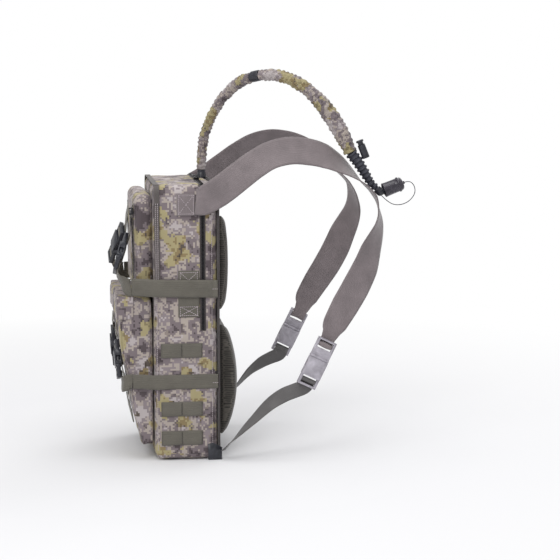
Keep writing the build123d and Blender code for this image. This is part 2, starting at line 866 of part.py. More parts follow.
shoulder_female, shoulder_strap, lower_webbing = clip(
    "shoulder",
    (160, 238, 212),
    (2, -38, -77),
    (1, 0, 0),
    (grid_webbing, shoulder_buckle_length, shoulder_buckle_thickness, webbing_thickness),
    [
        ((155.5, 244, 224), (0, 0.9, -0.45), 30),
        ((157, 250, 238), (0, 0.9, -0.45), 42),
        ((154, 268, 269), (0, 0.88, -0.48), 48),
        ((149.5, 287, 300), (-0.1, 0.85, -0.5), shoulder_webbing),
        ((144.5, 303, 331), (-0.25, 0.8, -0.5), shoulder_webbing),
        ((137.5, 315, 361), (-0.5, 0.7, -0.4), shoulder_webbing),
        ((128, 331, 400), (-0.85, 0.45, -0.2), shoulder_webbing),
        ((122, 332, 428), (-0.95, 0.2, 0.05), shoulder_webbing),
        ((119.5, 324, 454), (-1, 0, 0), shoulder_webbing),
        ((120, 306, 475), (-1, 0, 0), shoulder_webbing),
        ((121.5, 285, 493), (-0.92, 0.1, 0.25), shoulder_webbing),
        ((124, 263, 509), (-0.75, 0.1, 0.55), shoulder_webbing),
        ((127, 238, 522), (-0.58, 0, 0.8), shoulder_webbing),
        ((129, 210, 530), (-0.48, 0, 0.88), shoulder_webbing),
        ((130, 178, 533), (-0.44, 0, 0.9), shoulder_webbing),
        ((130, 146, 526), (-0.42, 0, 0.91), shoulder_webbing),
        ((128.5, 119, 511), (-0.36, -0.1, 0.93), shoulder_webbing),
        ((126.5, 92, 491), (-0.25, -0.1, 0.96), shoulder_webbing),
        ((125, 62, 468), (-0.1, -0.1, 0.99), shoulder_webbing),
        ((124.6, 41, 455), (0, -0.1, 1), shoulder_webbing),
        ((124.2, 28, 448), (0, -0.1, 1), shoulder_webbing - 3),
        ((121.4, 17, 448), (0, 0, 1), shoulder_webbing - 6),
    ],
    [
        ((155.5, 180, 124), (0.3, 0.68, -0.7), grid_webbing),
        ((152, 162, 116), (0.45, 0.6, -0.65), grid_webbing),
        ((147, 139, 100), (0.75, 0.45, -0.46), grid_webbing),
        ((138, 110, 70), (0.95, 0.2, -0.2), grid_webbing),
        ((131, 89, 47), (0.99, 0, 0), grid_webbing),
        ((125.5, 73, 29), (0.97, -0.2, 0.2), grid_webbing - 3),
        ((122, 62, 16), (0.93, -0.3, 0.3), grid_webbing - 8),
    ],
)
save_pair(shoulder_female, "shoulder_buckle_female")
save_pair(shoulder_strap, "shoulder_strap")
save_pair(lower_webbing, "lower_webbing")

with BuildPart() as bottom_anchor:
    with BuildSketch(Plane.YZ.offset(side)):
        with BuildLine():
            Polyline(*foot_patch, close=True)
        make_face()
    extrude(amount=shoulder_thickness)
save(with_twin(bottom_anchor), "bottom_anchors")
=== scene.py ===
import math

import bmesh
import bpy
from mathutils import Matrix, Vector, noise


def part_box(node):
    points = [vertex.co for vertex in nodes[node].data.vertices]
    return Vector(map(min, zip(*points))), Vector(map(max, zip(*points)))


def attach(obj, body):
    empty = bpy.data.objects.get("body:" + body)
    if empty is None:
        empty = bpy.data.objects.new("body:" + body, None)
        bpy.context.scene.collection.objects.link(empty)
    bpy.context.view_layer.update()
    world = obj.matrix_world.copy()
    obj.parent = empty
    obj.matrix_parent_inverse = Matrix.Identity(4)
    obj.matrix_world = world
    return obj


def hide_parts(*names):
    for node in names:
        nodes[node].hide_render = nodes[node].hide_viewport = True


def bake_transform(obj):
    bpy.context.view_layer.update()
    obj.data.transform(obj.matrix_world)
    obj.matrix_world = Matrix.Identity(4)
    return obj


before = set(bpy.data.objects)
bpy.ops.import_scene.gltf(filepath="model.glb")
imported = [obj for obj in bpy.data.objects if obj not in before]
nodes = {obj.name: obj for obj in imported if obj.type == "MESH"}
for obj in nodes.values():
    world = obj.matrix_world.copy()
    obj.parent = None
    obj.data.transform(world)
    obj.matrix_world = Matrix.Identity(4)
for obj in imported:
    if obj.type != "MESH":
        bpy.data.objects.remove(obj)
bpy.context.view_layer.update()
scene = bpy.context.scene
scene.view_settings.view_transform = "Standard"
millimetre = 0.001

cameraSettings = {"azimuth": 82.0, "elevation": 8.0, "distance": 3.2, "frameWidth": 0.997,
                  "aim": (0.0, 0.178, 0.294)}


def placeCamera(settings):
    camera = bpy.data.objects.new("camera", bpy.data.cameras.new("camera"))
    scene.collection.objects.link(camera)
    turn, rise = math.radians(settings["azimuth"]), math.radians(settings["elevation"])
    back = Vector((math.sin(turn) * math.cos(rise), -math.cos(turn) * math.cos(rise), math.sin(rise)))
    camera.location = Vector(settings["aim"]) + back * settings["distance"]
    camera.rotation_mode = "QUATERNION"
    camera.rotation_quaternion = (-back).to_track_quat("-Z", "Y")
    camera.data.lens = camera.data.sensor_width * settings["distance"] / settings["frameWidth"]
    camera.data.clip_end = 50
    scene.camera = camera


placeCamera(cameraSettings)
print("camera placed")


# one shader or geometry node, with its inputs given by name or number
def addNode(tree, kind, inputs=None, **settings):
    node = tree.nodes.new(kind)
    for key, value in settings.items():
        setattr(node, key, value)
    for key, value in (inputs or {}).items():
        if isinstance(value, bpy.types.NodeSocket):
            tree.links.new(value, node.inputs[key])
        else:
            node.inputs[key].default_value = value
    return node


def tone(red, green, blue):
    def toLinear(value):
        value /= 255
        return value / 12.92 if value < 0.04045 else ((value + 0.055) / 1.055) ** 2.4
    return (toLinear(red), toLinear(green), toLinear(blue), 1.0)


def startMaterial(name, roughness, sheen=0.0):
    material = bpy.data.materials.new(name)
    material.use_nodes = True
    shader = material.node_tree.nodes["Principled BSDF"]
    shader.inputs["Roughness"].default_value = roughness
    shader.inputs["Sheen Weight"].default_value = sheen
    return material, material.node_tree, shader


def mixColor(tree, share, first, second, blend="MIX"):
    return addNode(tree, "ShaderNodeMix", {0: share, 6: first, 7: second},
                   data_type="RGBA", blend_type=blend).outputs[2]


def objectPlace(tree):
    return addNode(tree, "ShaderNodeTexCoord").outputs["Object"]


def stepRamp(tree, share, stops, interpolation="CONSTANT"):
    ramp = addNode(tree, "ShaderNodeValToRGB", {"Fac": share})
    ramp.color_ramp.interpolation = interpolation
    marks = ramp.color_ramp.elements
    while len(marks) < len(stops):
        marks.new(0.5)
    for mark, (place, color) in zip(marks, stops):
        mark.position = place
        mark.color = color
    return ramp.outputs["Color"]


def addBumps(tree, shader, heights):
    normal = None
    for height, distance, strength in heights:
        bump = addNode(tree, "ShaderNodeBump",
                       {"Height": height, "Distance": distance, "Strength": strength})
        if normal:
            tree.links.new(normal, bump.inputs["Normal"])
        normal = bump.outputs[0]
    tree.links.new(normal, shader.inputs["Normal"])


waveUnit = 0.314  # a wave texture of scale 1 repeats at this length in metres


def clothWeave(tree, place, period):
    bands = []
    for way in ("DIAGONAL", "Z"):
        band = addNode(tree, "ShaderNodeTexWave",
                       {"Vector": place, "Scale": waveUnit / period, "Distortion": 0.3}, bands_direction=way)
        bands.append(band.outputs["Fac"])
    return addNode(tree, "ShaderNodeMath", {0: bands[0], 1: bands[1]}, operation="MULTIPLY").outputs[0]


camoLook = {
    "block": 0.0031, "blotchScale": 34.0, "speckScale": 75.0, "weave": 0.0009, "crease": 21.0,
    "tones": [(0.0, tone(84, 74, 77)), (0.40, tone(122, 111, 114)), (0.485, tone(172, 161, 152)),
              (0.54, tone(140, 129, 132)), (0.60, tone(182, 173, 172))],
    "accents": [(0.0, tone(166, 155, 116)), (0.53, tone(138, 121, 86)), (0.60, tone(88, 78, 70))],
}


def camoMaterial(name, look, lift=1.0):
    material, tree, shader = startMaterial(name, 0.86, 0.15)
    place = objectPlace(tree)
    step = look["block"]
    blocks = addNode(tree, "ShaderNodeVectorMath", {0: place, 1: (step, step, step)},
                    operation="SNAP").outputs[0]
    blotch = addNode(tree, "ShaderNodeTexNoise",
                     {"Vector": blocks, "Scale": look["blotchScale"], "Detail": 3.0, "Roughness": 0.62})
    ground = stepRamp(tree, blotch.outputs[0], look["tones"])
    shifted = addNode(tree, "ShaderNodeMapping", {"Vector": blocks, "Location": (0.37, 0.21, 0.59)})
    patch = addNode(tree, "ShaderNodeTexNoise",
                    {"Vector": shifted.outputs[0], "Scale": look["blotchScale"] * 0.8, "Detail": 3.0})
    accent = stepRamp(tree, blotch.outputs[0], look["accents"])
    mask = stepRamp(tree, patch.outputs[0], [(0.0, (0, 0, 0, 1)), (0.565, (1, 1, 1, 1))])
    pattern = mixColor(tree, mask, ground, accent)
    speck = addNode(tree, "ShaderNodeTexNoise",
                    {"Vector": blocks, "Scale": look["speckScale"], "Detail": 1.0})
    dots = stepRamp(tree, speck.outputs[0], [(0.0, (1, 1, 1, 1)), (0.66, (0.62, 0.6, 0.6, 1))])
    colored = mixColor(tree, 1.0, pattern, dots, "MULTIPLY")
    wear = addNode(tree, "ShaderNodeTexNoise", {"Vector": place, "Scale": 11.0, "Detail": 4.0})
    faded = (0.86 * lift, 0.86 * lift, 0.88 * lift, 1)
    shade = stepRamp(tree, wear.outputs[0], [(0.3, faded), (0.7, (lift, lift, lift, 1))], "LINEAR")
    tree.links.new(mixColor(tree, 1.0, colored, shade, "MULTIPLY"), shader.inputs["Base Color"])
    crease = addNode(tree, "ShaderNodeTexNoise",
                     {"Vector": place, "Scale": look["crease"], "Detail": 5.0, "Distortion": 0.8})
    addBumps(tree, shader, [(crease.outputs[0], 0.004, 0.45),
                            (clothWeave(tree, place, look["weave"]), 0.0003, 0.5)])
    return material


webbingLook = {"weaveScale": 250.0, "brickWidth": 0.6, "rowHeight": 0.3, "gap": 0.06,
               "rib": 0.0032}


def webbingMaterial(name, color, ribbed=0.6, sheen=0.2):
    material, tree, shader = startMaterial(name, 0.8, sheen)
    uv = addNode(tree, "ShaderNodeUVMap", uv_map="strip").outputs[0]
    darker = (color[0] * 0.72, color[1] * 0.72, color[2] * 0.72, 1)
    weave = addNode(tree, "ShaderNodeTexBrick",
                    {"Vector": uv, "Scale": webbingLook["weaveScale"], "Color1": color,
                     "Color2": (color[0] * 0.9, color[1] * 0.9, color[2] * 0.9, 1), "Mortar": darker,
                     "Mortar Size": webbingLook["gap"], "Brick Width": webbingLook["brickWidth"],
                     "Row Height": webbingLook["rowHeight"]})
    cloud = addNode(tree, "ShaderNodeTexNoise", {"Vector": objectPlace(tree), "Scale": 38.0, "Detail": 4.0})
    shade = stepRamp(tree, cloud.outputs[0],
                     [(0.3, (0.84, 0.84, 0.84, 1)), (0.7, (1.1, 1.1, 1.1, 1))], "LINEAR")
    painted = mixColor(tree, 1.0, weave.outputs["Color"], shade, "MULTIPLY")
    tree.links.new(painted, shader.inputs["Base Color"])
    rib = addNode(tree, "ShaderNodeTexWave",
                  {"Vector": uv, "Scale": waveUnit / webbingLook["rib"], "Distortion": 0.15},
                  bands_direction="Y")
    addBumps(tree, shader, [(rib.outputs["Fac"], 0.0004, ribbed), (weave.outputs["Fac"], 0.0004, -0.6)])
    return material


def plasticMaterial(name, color, roughness=0.4, grain=1400.0, bump=0.25):
    material, tree, shader = startMaterial(name, roughness)
    place = objectPlace(tree)
    scuff = addNode(tree, "ShaderNodeTexNoise",
                    {"Vector": place, "Scale": 60.0, "Detail": 6.0, "Distortion": 1.5})
    light = tuple(min(1, part * 1.5 + 0.012) for part in color[:3]) + (1,)
    tree.links.new(stepRamp(tree, scuff.outputs[0], [(0.35, color), (0.75, light)], "LINEAR"),
                   shader.inputs["Base Color"])
    spread = addNode(tree, "ShaderNodeMapRange",
                     {0: scuff.outputs[0], 3: roughness - 0.08, 4: roughness + 0.15})
    tree.links.new(spread.outputs[0], shader.inputs["Roughness"])
    texture = addNode(tree, "ShaderNodeTexNoise", {"Vector": place, "Scale": grain, "Detail": 2.0})
    addBumps(tree, shader, [(texture.outputs[0], 0.0002, bump)])
    return material


def meshMaterial(name, color, hole):
    material, tree, shader = startMaterial(name, 0.9, 0.3)
    place = objectPlace(tree)
    flat = addNode(tree, "ShaderNodeMapping", {"Vector": place, "Scale": (1, 0, 1)}).outputs[0]
    cells = addNode(tree, "ShaderNodeTexVoronoi", {"Vector": flat, "Scale": 1 / hole, "Randomness": 0.35},
                    feature="DISTANCE_TO_EDGE")
    # strands get 1.35 times the mesh colour; the hole centres get 0.35 times, which is painted shade inside
    # the mesh holes
    dark = (color[0] * 1.35, color[1] * 1.35, color[2] * 1.35, 1)
    paintedHoleShade = (color[0] * 0.35, color[1] * 0.35, color[2] * 0.35, 1)
    netWithPaintedHoleShade = stepRamp(tree, cells.outputs[0], [(0.06, dark), (0.22, paintedHoleShade)], "LINEAR")
    cloud = addNode(tree, "ShaderNodeTexNoise", {"Vector": place, "Scale": 16.0, "Detail": 4.0})
    shade = stepRamp(tree, cloud.outputs[0], [(0.3, (0.8, 0.8, 0.8, 1)), (0.7, (1.1, 1.1, 1.1, 1))], "LINEAR")
    tree.links.new(mixColor(tree, 1.0, netWithPaintedHoleShade, shade, "MULTIPLY"), shader.inputs["Base Color"])
    addBumps(tree, shader, [(cells.outputs[0], 0.0008, -0.7)])
    return material


camoCloth = camoMaterial("camoCloth", camoLook)
camoHose = camoMaterial("camoHoseCover", {**camoLook, "block": 0.0026, "crease": 60.0}, 0.86)
oliveWebbing = webbingMaterial("oliveWebbing", tone(104, 100, 91))
lavenderWebbing = webbingMaterial("shoulderWebbing", tone(130, 120, 122), 0.35, 0.35)
darkTape = webbingMaterial("darkZipperTape", tone(72, 66, 66))
edgeTape = webbingMaterial("edgeTape", tone(92, 86, 84))
lowerStrapWebbing = webbingMaterial("lowerStrapWebbing", tone(100, 98, 98), 0.4)
padMesh = meshMaterial("padMesh", tone(84, 80, 74), 0.0032)
blackPlastic = plasticMaterial("blackPlastic", tone(34, 35, 42), 0.32)
greyPlastic = plasticMaterial("greyPlastic", tone(150, 146, 154), 0.42)
pullMetal = plasticMaterial("blackenedMetal", tone(40, 39, 42), 0.3)
pullMetal.node_tree.nodes["Principled BSDF"].inputs["Metallic"].default_value = 0.8
blackRubber = plasticMaterial("blackRubber", tone(44, 45, 54), 0.5, 900.0, 0.35)
capPlastic = plasticMaterial("smokePlastic", tone(52, 48, 58), 0.22)
capPlastic.node_tree.nodes["Principled BSDF"].inputs["Transmission Weight"].default_value = 0.25
filmPlastic = plasticMaterial("bladderFilm", tone(178, 190, 196), 0.18, 500.0)
filmPlastic.node_tree.nodes["Principled BSDF"].inputs["Transmission Weight"].default_value = 0.35
bluePlastic = plasticMaterial("bluePlastic", tone(58, 76, 108), 0.35)
threadMaterial = plasticMaterial("thread", tone(70, 66, 62), 0.7, 2500.0)
paleThread = plasticMaterial("paleThread", tone(168, 158, 162), 0.7, 2500.0)
print("materials made")


def linkMesh(name, mesh, material):
    piece = bpy.data.objects.new(name, mesh)
    scene.collection.objects.link(piece)
    mesh.materials.clear()
    mesh.materials.append(material)
    return piece


def meshFrom(name, points, faces, material, smooth=True):
    mesh = bpy.data.meshes.new(name)
    mesh.from_pydata([tuple(point) for point in points], [], faces)
    mesh.update()
    if smooth:
        mesh.polygons.foreach_set("use_smooth", [True] * len(mesh.polygons))
    return linkMesh(name, mesh, material)


def applied(piece):
    graph = bpy.context.evaluated_depsgraph_get()
    mesh = bpy.data.meshes.new_from_object(piece.evaluated_get(graph))
    piece.modifiers.clear()
    piece.data = mesh
    return piece


def settle(piece, body, slotName, *replaced):
    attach(piece, body)
    if replaced:
        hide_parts(*replaced)
    return piece


# a smooth spline on given control points in millimetres
def nurbsRoute(points):
    data = bpy.data.curves.new("route", "CURVE")
    data.dimensions = "3D"
    data.resolution_u = 10
    spline = data.splines.new("NURBS")
    spline.points.add(len(points) - 1)
    for control, point in zip(spline.points, points):
        control.co = (*[value * millimetre for value in point], 1)
    spline.order_u = 3
    spline.use_endpoint_u = True
    return data


def routePoints(data):
    holder = bpy.data.objects.new("routeHolder", data)
    scene.collection.objects.link(holder)
    graph = bpy.context.evaluated_depsgraph_get()
    mesh = bpy.data.meshes.new_from_object(holder.evaluated_get(graph))
    points = [vertex.co.copy() for vertex in mesh.vertices]
    bpy.data.objects.remove(holder)
    return points


def roundCord(name, points, diameter, material):
    data = nurbsRoute(points)
    data.bevel_depth = diameter / 2
    data.bevel_resolution = 5
    data.use_fill_caps = True
    data.materials.append(material)
    cord = bpy.data.objects.new(name, data)
    scene.collection.objects.link(cord)
    return cord


hoseSettings = {
    "diameter": 0.014, "length": 0.4713,
    "route": [(-50, 43.5, 485), (-50, 43.5, 512), (-44, 46, 538), (-35, 51.5, 564), (-23, 62, 590),
              (-9, 75, 614), (8, 89.5, 633), (27, 104.5, 646), (46, 119, 654), (63, 138, 659),
              (78, 160, 659), (91, 182, 653), (101, 205, 640), (107.5, 227, 620), (111.5, 246.5, 595),
              (114, 263.5, 568), (116, 275.5, 545), (117, 284, 527)],
}
innerSettings = {
    "diameter": 0.010, "length": 0.4383,
    "route": [(0, 30.7, 58), (0, 30.7, 100), (14, 30, 165), (12, 32, 245), (-6, 34, 325),
              (-38, 39, 392), (-50, 43.5, 442), (-50, 43.5, 485)],
}
tetherSettings = {
    "diameter": 0.0014, "length": 0.1075,
    "route": [(120, 374.14, 475.41), (120, 384.41, 479.35), (120.5, 394.14, 471.41), (121, 396.14, 456.41),
              (121, 383.14, 441.41), (120.5, 365.14, 436.41), (120, 349.14, 441.41), (120, 337.24, 453.57)],
}
hydrationHose = roundCord("hydrationHose", hoseSettings["route"], hoseSettings["diameter"], blackRubber)
settle(hydrationHose, "pack", "hose_cover", "hydration_hose")
innerHose = roundCord("innerHose", innerSettings["route"], innerSettings["diameter"], filmPlastic)
settle(innerHose, "pack", "black_rubber", "inner_hose")
hoseLine = routePoints(nurbsRoute(hoseSettings["route"]))
tetherLine = routePoints(nurbsRoute(tetherSettings["route"]))
print("hoses laid")


def alongLine(points):
    marks = [0.0]
    for before, after in zip(points, points[1:]):
        marks.append(marks[-1] + (after - before).length)
    return marks


def lineAt(points, marks, distance):
    distance = min(max(distance, 0.0), marks[-1])
    for index in range(1, len(points)):
        if distance <= marks[index] or index == len(points) - 1:
            span = max(marks[index] - marks[index - 1], 1e-9)
            share = (distance - marks[index - 1]) / span
            heading = (points[index] - points[index - 1]).normalized()
            return points[index - 1].lerp(points[index], share), heading


# an eased value between (place, value) stops
def blendValues(stops, place):
    for (start, low), (end, high) in zip(stops, stops[1:]):
        if place <= end:
            share = min(max((place - start) / (end - start), 0), 1)
            share = share * share * (3 - 2 * share)
            return low + (high - low) * share
    return stops[-1][1]


# a tube with its own radius along a smooth line, ruffled where asked
def tubeAlong(name, points, start, end, radii, step, sides, material, ruffle=None, caps=True):
    marks = alongLine(points)
    count = max(int((end - start) / step), 2)
    across = None
    rings, faces = [], []
    for index in range(count + 1):
        distance = start + (end - start) * index / count
        centre, heading = lineAt(points, marks, distance)
        if across is None:
            across = heading.cross(Vector((0, 0.3, 1))).normalized()
        across = (across - heading * across.dot(heading)).normalized()
        other = heading.cross(across)
        radius = blendValues(radii, distance - start)
        for side in range(sides):
            angle = 2 * math.pi * side / sides
            outward = across * math.cos(angle) + other * math.sin(angle)
            reach = radius + (ruffle(distance, angle, centre + outward * radius) if ruffle else 0)
            rings.append(centre + outward * reach)
    for index in range(count):
        for side in range(sides):
            following = (side + 1) % sides
            faces.append((index * sides + side, index * sides + following,
                          (index + 1) * sides + following, (index + 1) * sides + side))
    if caps:
        faces.append(tuple(range(sides - 1, -1, -1)))
        faces.append(tuple(count * sides + side for side in range(sides)))
    return meshFrom(name, rings, faces, material)


coverSettings = {
    "step": 0.0016, "sides": 40, "gatherPitch": 0.0085, "gatherDepth": 0.0009, "rumple": 0.0016,
    "lowRadii": [(0.0, 0.0080), (0.03, 0.0086), (0.12, 0.0082), (0.19, 0.0094), (0.222, 0.0084)],
    "highRadii": [(0.0, 0.0086), (0.02, 0.0096), (0.08, 0.0108), (0.15, 0.0138), (0.19, 0.0134),
                  (0.224, 0.0108)],
}


def gathered(distance, angle, point):
    settings = coverSettings
    coarse, fine = noise.noise(point * 70), noise.noise(point * 190)
    swell = coarse * settings["rumple"] + fine * settings["rumple"] * 0.5
    phase = 2 * math.pi * distance / settings["gatherPitch"] + 1.6 * math.sin(angle)
    phase += noise.noise(point * 40) * 5
    return max(swell + settings["gatherDepth"] * math.sin(phase), -0.0008)


hoseMarks = alongLine(hoseLine)
hoseCoverLow = tubeAlong("hoseCoverLow", hoseLine, 0.004, 0.226, coverSettings["lowRadii"],
                         coverSettings["step"], coverSettings["sides"], camoHose, gathered)
hoseCoverHigh = tubeAlong("hoseCoverHigh", hoseLine, 0.246, hoseMarks[-1] - 0.002,
                          coverSettings["highRadii"], coverSettings["step"], coverSettings["sides"],
                          camoHose, gathered)
for cover in (hoseCoverLow, hoseCoverHigh):
    settle(cover, "pack", "hose_cover")
print("hose covers gathered")

bootSettings = {"ribs": 10, "ribDepth": 0.0011, "step": 0.0004, "sides": 32,
                "route": [(117, 284, 527), (117.5, 294, 514.5), (118, 306, 496), (119, 318, 475.5),
                          (119.65, 328.9, 465.4)]}
bootLine = [Vector(point) * millimetre for point in bootSettings["route"]]
bootMarks = alongLine(bootLine)


def ribbing(distance, angle, point):
    wave = math.sin(2 * math.pi * bootSettings["ribs"] * distance / bootMarks[-1])
    return bootSettings["ribDepth"] * max(min(wave * 1.6, 1), -1)


bootRadii = [(0.0, 0.0096), (0.016, 0.0092), (0.037, 0.0084), (0.061, 0.0066), (bootMarks[-1], 0.0056)]
bootPiece = tubeAlong("ribbedBoot", bootLine, 0, bootMarks[-1], bootRadii, bootSettings["step"],
                      bootSettings["sides"], blackRubber, ribbing)
settle(bootPiece, "pack", "black_rubber", "ribbed_boot")


# a turned piece: profile is (place along the axis, radius) in millimetres
def turned(name, origin, axis, profile, material, sides=48):
    axis = Vector(axis).normalized()
    across = axis.orthogonal().normalized()
    other = axis.cross(across)
    rings, faces = [], []
    for place, radius in profile:
        for side in range(sides):
            angle = 2 * math.pi * side / sides
            rings.append(Vector(origin) + axis * place * millimetre
                         + (across * math.cos(angle) + other * math.sin(angle)) * radius * millimetre)
    for index in range(len(profile) - 1):
        for side in range(sides):
            following = (side + 1) % sides
            faces.append((index * sides + side, index * sides + following,
                          (index + 1) * sides + following, (index + 1) * sides + side))
    faces.append(tuple(range(sides - 1, -1, -1)))
    faces.append(tuple((len(profile) - 1) * sides + side for side in range(sides)))
    return meshFrom(name, rings, faces, material)


valveAxis = Vector((0, 0.93358, 0.35837))
elbowPlace = Vector((0.120, 0.334, 0.460))
capStart = elbowPlace + valveAxis * 0.007
capProfile = [(3, 10.4), (0.2, 10.5), (0, 11.6), (0.4, 12.3), (1.2, 12.5), (3, 12.2), (8, 11.9), (20, 11.7),
              (25.6, 11.7), (26.2, 12.5), (27, 13.0), (28.6, 13.0), (29.4, 12.4), (29.8, 11.5), (32, 11.2),
              (34.2, 10.0), (35.4, 7.5), (35.9, 3.2), (36.2, 2.9), (38.4, 2.5), (39, 1.6)]
valveCap = turned("valveCap", capStart, valveAxis, capProfile, capPlastic)
settle(valveCap, "valve_cap", "smoke_plastic", "bite_valve_cap")

tetherPiece = tubeAlong("capTether", tetherLine, 0, alongLine(tetherLine)[-1], [(0, 0.0007), (1, 0.0007)],
                        0.0016, 10, blackRubber)
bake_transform(tetherPiece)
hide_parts("cap_tether")
print("mouthpiece made")


# a hard part with its sharp edges rounded
def refined(name, node, body, slotName, material, bevel=0.0005):
    mesh = bpy.data.meshes.new(name)
    shape = bmesh.new()
    shape.from_mesh(nodes[node].data)
    bmesh.ops.remove_doubles(shape, verts=shape.verts, dist=0.00001)
    bmesh.ops.dissolve_limit(shape, angle_limit=math.radians(1), verts=shape.verts, edges=shape.edges)
    bmesh.ops.recalc_face_normals(shape, faces=shape.faces)
    shape.to_mesh(mesh)
    shape.free()
    piece = linkMesh(name, mesh, material)
    rounding = piece.modifiers.new("rounding", "BEVEL")
    rounding.width = bevel
    rounding.segments = 2
    rounding.limit_method = "ANGLE"
    rounding.angle_limit = math.radians(35)
    rounding.harden_normals = True
    applied(piece)
    piece.data.polygons.foreach_set("use_smooth", [True] * len(piece.data.polygons))
    return settle(piece, body, slotName, node)


rigidParts = [
    ("hosePort", "hose_port", "pack", "black_plastic", blackPlastic, 0.0006),
    ("hoseClip", "hose_joiner", "pack", "black_plastic", blackPlastic, 0.001),
    ("toggleBarrel", "cord_lock_body", "pack", "black_plastic", blackPlastic, 0.0008),
    ("togglePlunger", "cord_lock_plunger", "cord_lock", "black_plastic", blackPlastic, 0.0006),
    ("valveElbow", "valve_elbow", "mouthpiece", "black_plastic", blackPlastic, 0.0004),
    ("biteValve", "bite_valve", "mouthpiece", "black_rubber", blackRubber, 0.0006),
    ("upperFemaleBuckles", "upper_buckle_females", "pack", "black_plastic", blackPlastic, 0.0008),
    ("lowerFemaleBuckles", "lower_buckle_females", "pack", "black_plastic", blackPlastic, 0.0008),
    ("pocketZipperSlider", "pocket_zipper_slider", "pocket_slider", "black_metal", pullMetal, 0.0003),
    ("pocketZipperPull", "pocket_zipper_pull", "pocket_pull", "black_metal", pullMetal, 0.0002),
    ("fillCap", "reservoir_cap", "fill_cap", "blue_plastic", bluePlastic, 0.0008),
    ("bladderOutlet", "reservoir_outlet", "pack", "blue_plastic", bluePlastic, 0.0005),
    ("bladder", "reservoir", "pack", "clear_film", filmPlastic, 0.004),
]
for side in ("right", "left"):
    capital = side.capitalize()
    rigidParts += [
        ("upperMaleBuckle" + capital, "upper_buckle_male_" + side, "upper_buckle_" + side,
         "black_plastic", blackPlastic, 0.0008),
        ("lowerMaleBuckle" + capital, "lower_buckle_male_" + side, "lower_buckle_" + side,
         "black_plastic", blackPlastic, 0.0008),
        ("shoulderMaleBuckle" + capital, "shoulder_buckle_male_" + side, "pack",
         "grey_plastic", greyPlastic, 0.0009),
        ("shoulderFemaleBuckle" + capital, "shoulder_buckle_female_" + side, "shoulder_buckle_" + side,
         "grey_plastic", greyPlastic, 0.0009),
        ("zipperSlider" + capital, "main_zipper_slider_" + side, "main_slider_" + side,
         "black_metal", pullMetal, 0.0003),
        ("zipperPull" + capital, "main_zipper_pull_" + side, "main_pull_" + side,
         "black_metal", pullMetal, 0.0002),
    ]
for name, node, body, slotName, material, bevel in rigidParts:
    refined(name, node, body, slotName, material, bevel)
print("hard parts rounded")


# stations are (centre, width direction, width) in millimetres
def smoothStations(stations, step):
    centres = [Vector(centre) * millimetre for centre, _, _ in stations]
    sides = [Vector(across).normalized() for _, across, _ in stations]
    widths = [width * millimetre for _, _, width in stations]
    places, lefts, spans = [], [], []
    for index in range(len(centres) - 1):
        before = centres[max(index - 1, 0)]
        after = centres[min(index + 2, len(centres) - 1)]
        here, there = centres[index], centres[index + 1]
        pieces = max(int((there - here).length / step), 2)
        for part in range(pieces + (index == len(centres) - 2)):
            t = part / pieces
            pull, push = (there - before) * 0.5, (after - here) * 0.5
            places.append(here * (2 * t ** 3 - 3 * t ** 2 + 1) + pull * (t ** 3 - 2 * t ** 2 + t)
                          + there * (3 * t ** 2 - 2 * t ** 3) + push * (t ** 3 - t ** 2))
            lefts.append(sides[index].lerp(sides[index + 1], t).normalized())
            spans.append(widths[index] + (widths[index + 1] - widths[index]) * t)
    return places, lefts, spans


# a woven strip through its stations, with a UV map in metres for the weave
def strip(name, stations, thickness, material, step=0.003, cells=8, cup=0.0, ripple=0.0):
    places, lefts, spans = smoothStations(stations, step)
    half = thickness * millimetre / 2
    points, marks, faces, along = [], [], [], 0.0
    loop = [(-1 + 2 * cell / cells, 1) for cell in range(cells + 1)]
    loop += [(1 - 2 * cell / cells, -1) for cell in range(cells + 1)]
    for index, place in enumerate(places):
        heading = (places[min(index + 1, len(places) - 1)] - places[max(index - 1, 0)]).normalized()
        along += (place - places[index - 1]).length if index else 0
        left = (lefts[index] - heading * lefts[index].dot(heading)).normalized()
        face = heading.cross(left)
        wave = noise.noise(place * 26) * ripple
        for across, level in loop:
            edge = 0.72 if abs(across) > 0.99 else 1.0
            bend = cup * (across * across - 0.4) + wave
            points.append(place + left * across * spans[index] / 2 + face * (level * half * edge + bend))
            marks.append((along, across * spans[index] / 2))
    size = len(loop)
    for index in range(len(places) - 1):
        for cell in range(size):
            following = (cell + 1) % size
            faces.append((index * size + cell, (index + 1) * size + cell,
                          (index + 1) * size + following, index * size + following))
    faces.append(tuple(range(size)))
    faces.append(tuple((len(places) - 1) * size + cell for cell in range(size - 1, -1, -1)))
    piece = meshFrom(name, points, faces, material)
    layer = piece.data.uv_layers.new(name="strip")
    for corner in piece.data.loops:
        layer.data[corner.index].uv = marks[corner.vertex_index]
    return piece


def mirrored(stations):
    return [((-centre[0], centre[1], centre[2]), (-across[0], across[1], across[2]), width)
            for centre, across, width in stations]


def buckleSeat(maleEnd, heading, outward, reach):
    along = Vector(heading).normalized()
    across = Vector(outward).cross(along).normalized()
    origin = Vector(maleEnd) + along * reach
    return Matrix(((across.x, along.cross(across).x, along.x, origin.x),
                   (across.y, along.cross(across).y, along.y, origin.y),
                   (across.z, along.cross(across).z, along.z, origin.z), (0, 0, 0, 1)))


# webbing that turns round the bar of a buckle frame
def barLoop(seat, barAt, toward, limit, thickness, width):
    across = tuple(seat.to_3x3() @ Vector((1, 0, 0)))
    inside, reach = 1.75 + 0.4 + thickness / 2, 2 + 0.4 + thickness / 2
    spots = [(-(3.5 + 0.6 + thickness / 2), limit - toward * 3),
             (-(inside + thickness + 0.5), (barAt + limit) / 2)]
    for turn in range(-90, 271, 30):
        share = min(max((turn + 90) / 60, 0), 1)
        depth = inside + (thickness + 0.3) * (1 - share)
        angle = math.radians(turn)
        spots.append((depth * math.sin(angle), barAt + toward * reach * math.cos(angle)))
    return [(tuple(seat @ Vector((0, depth, place))), across, width) for depth, place in spots]


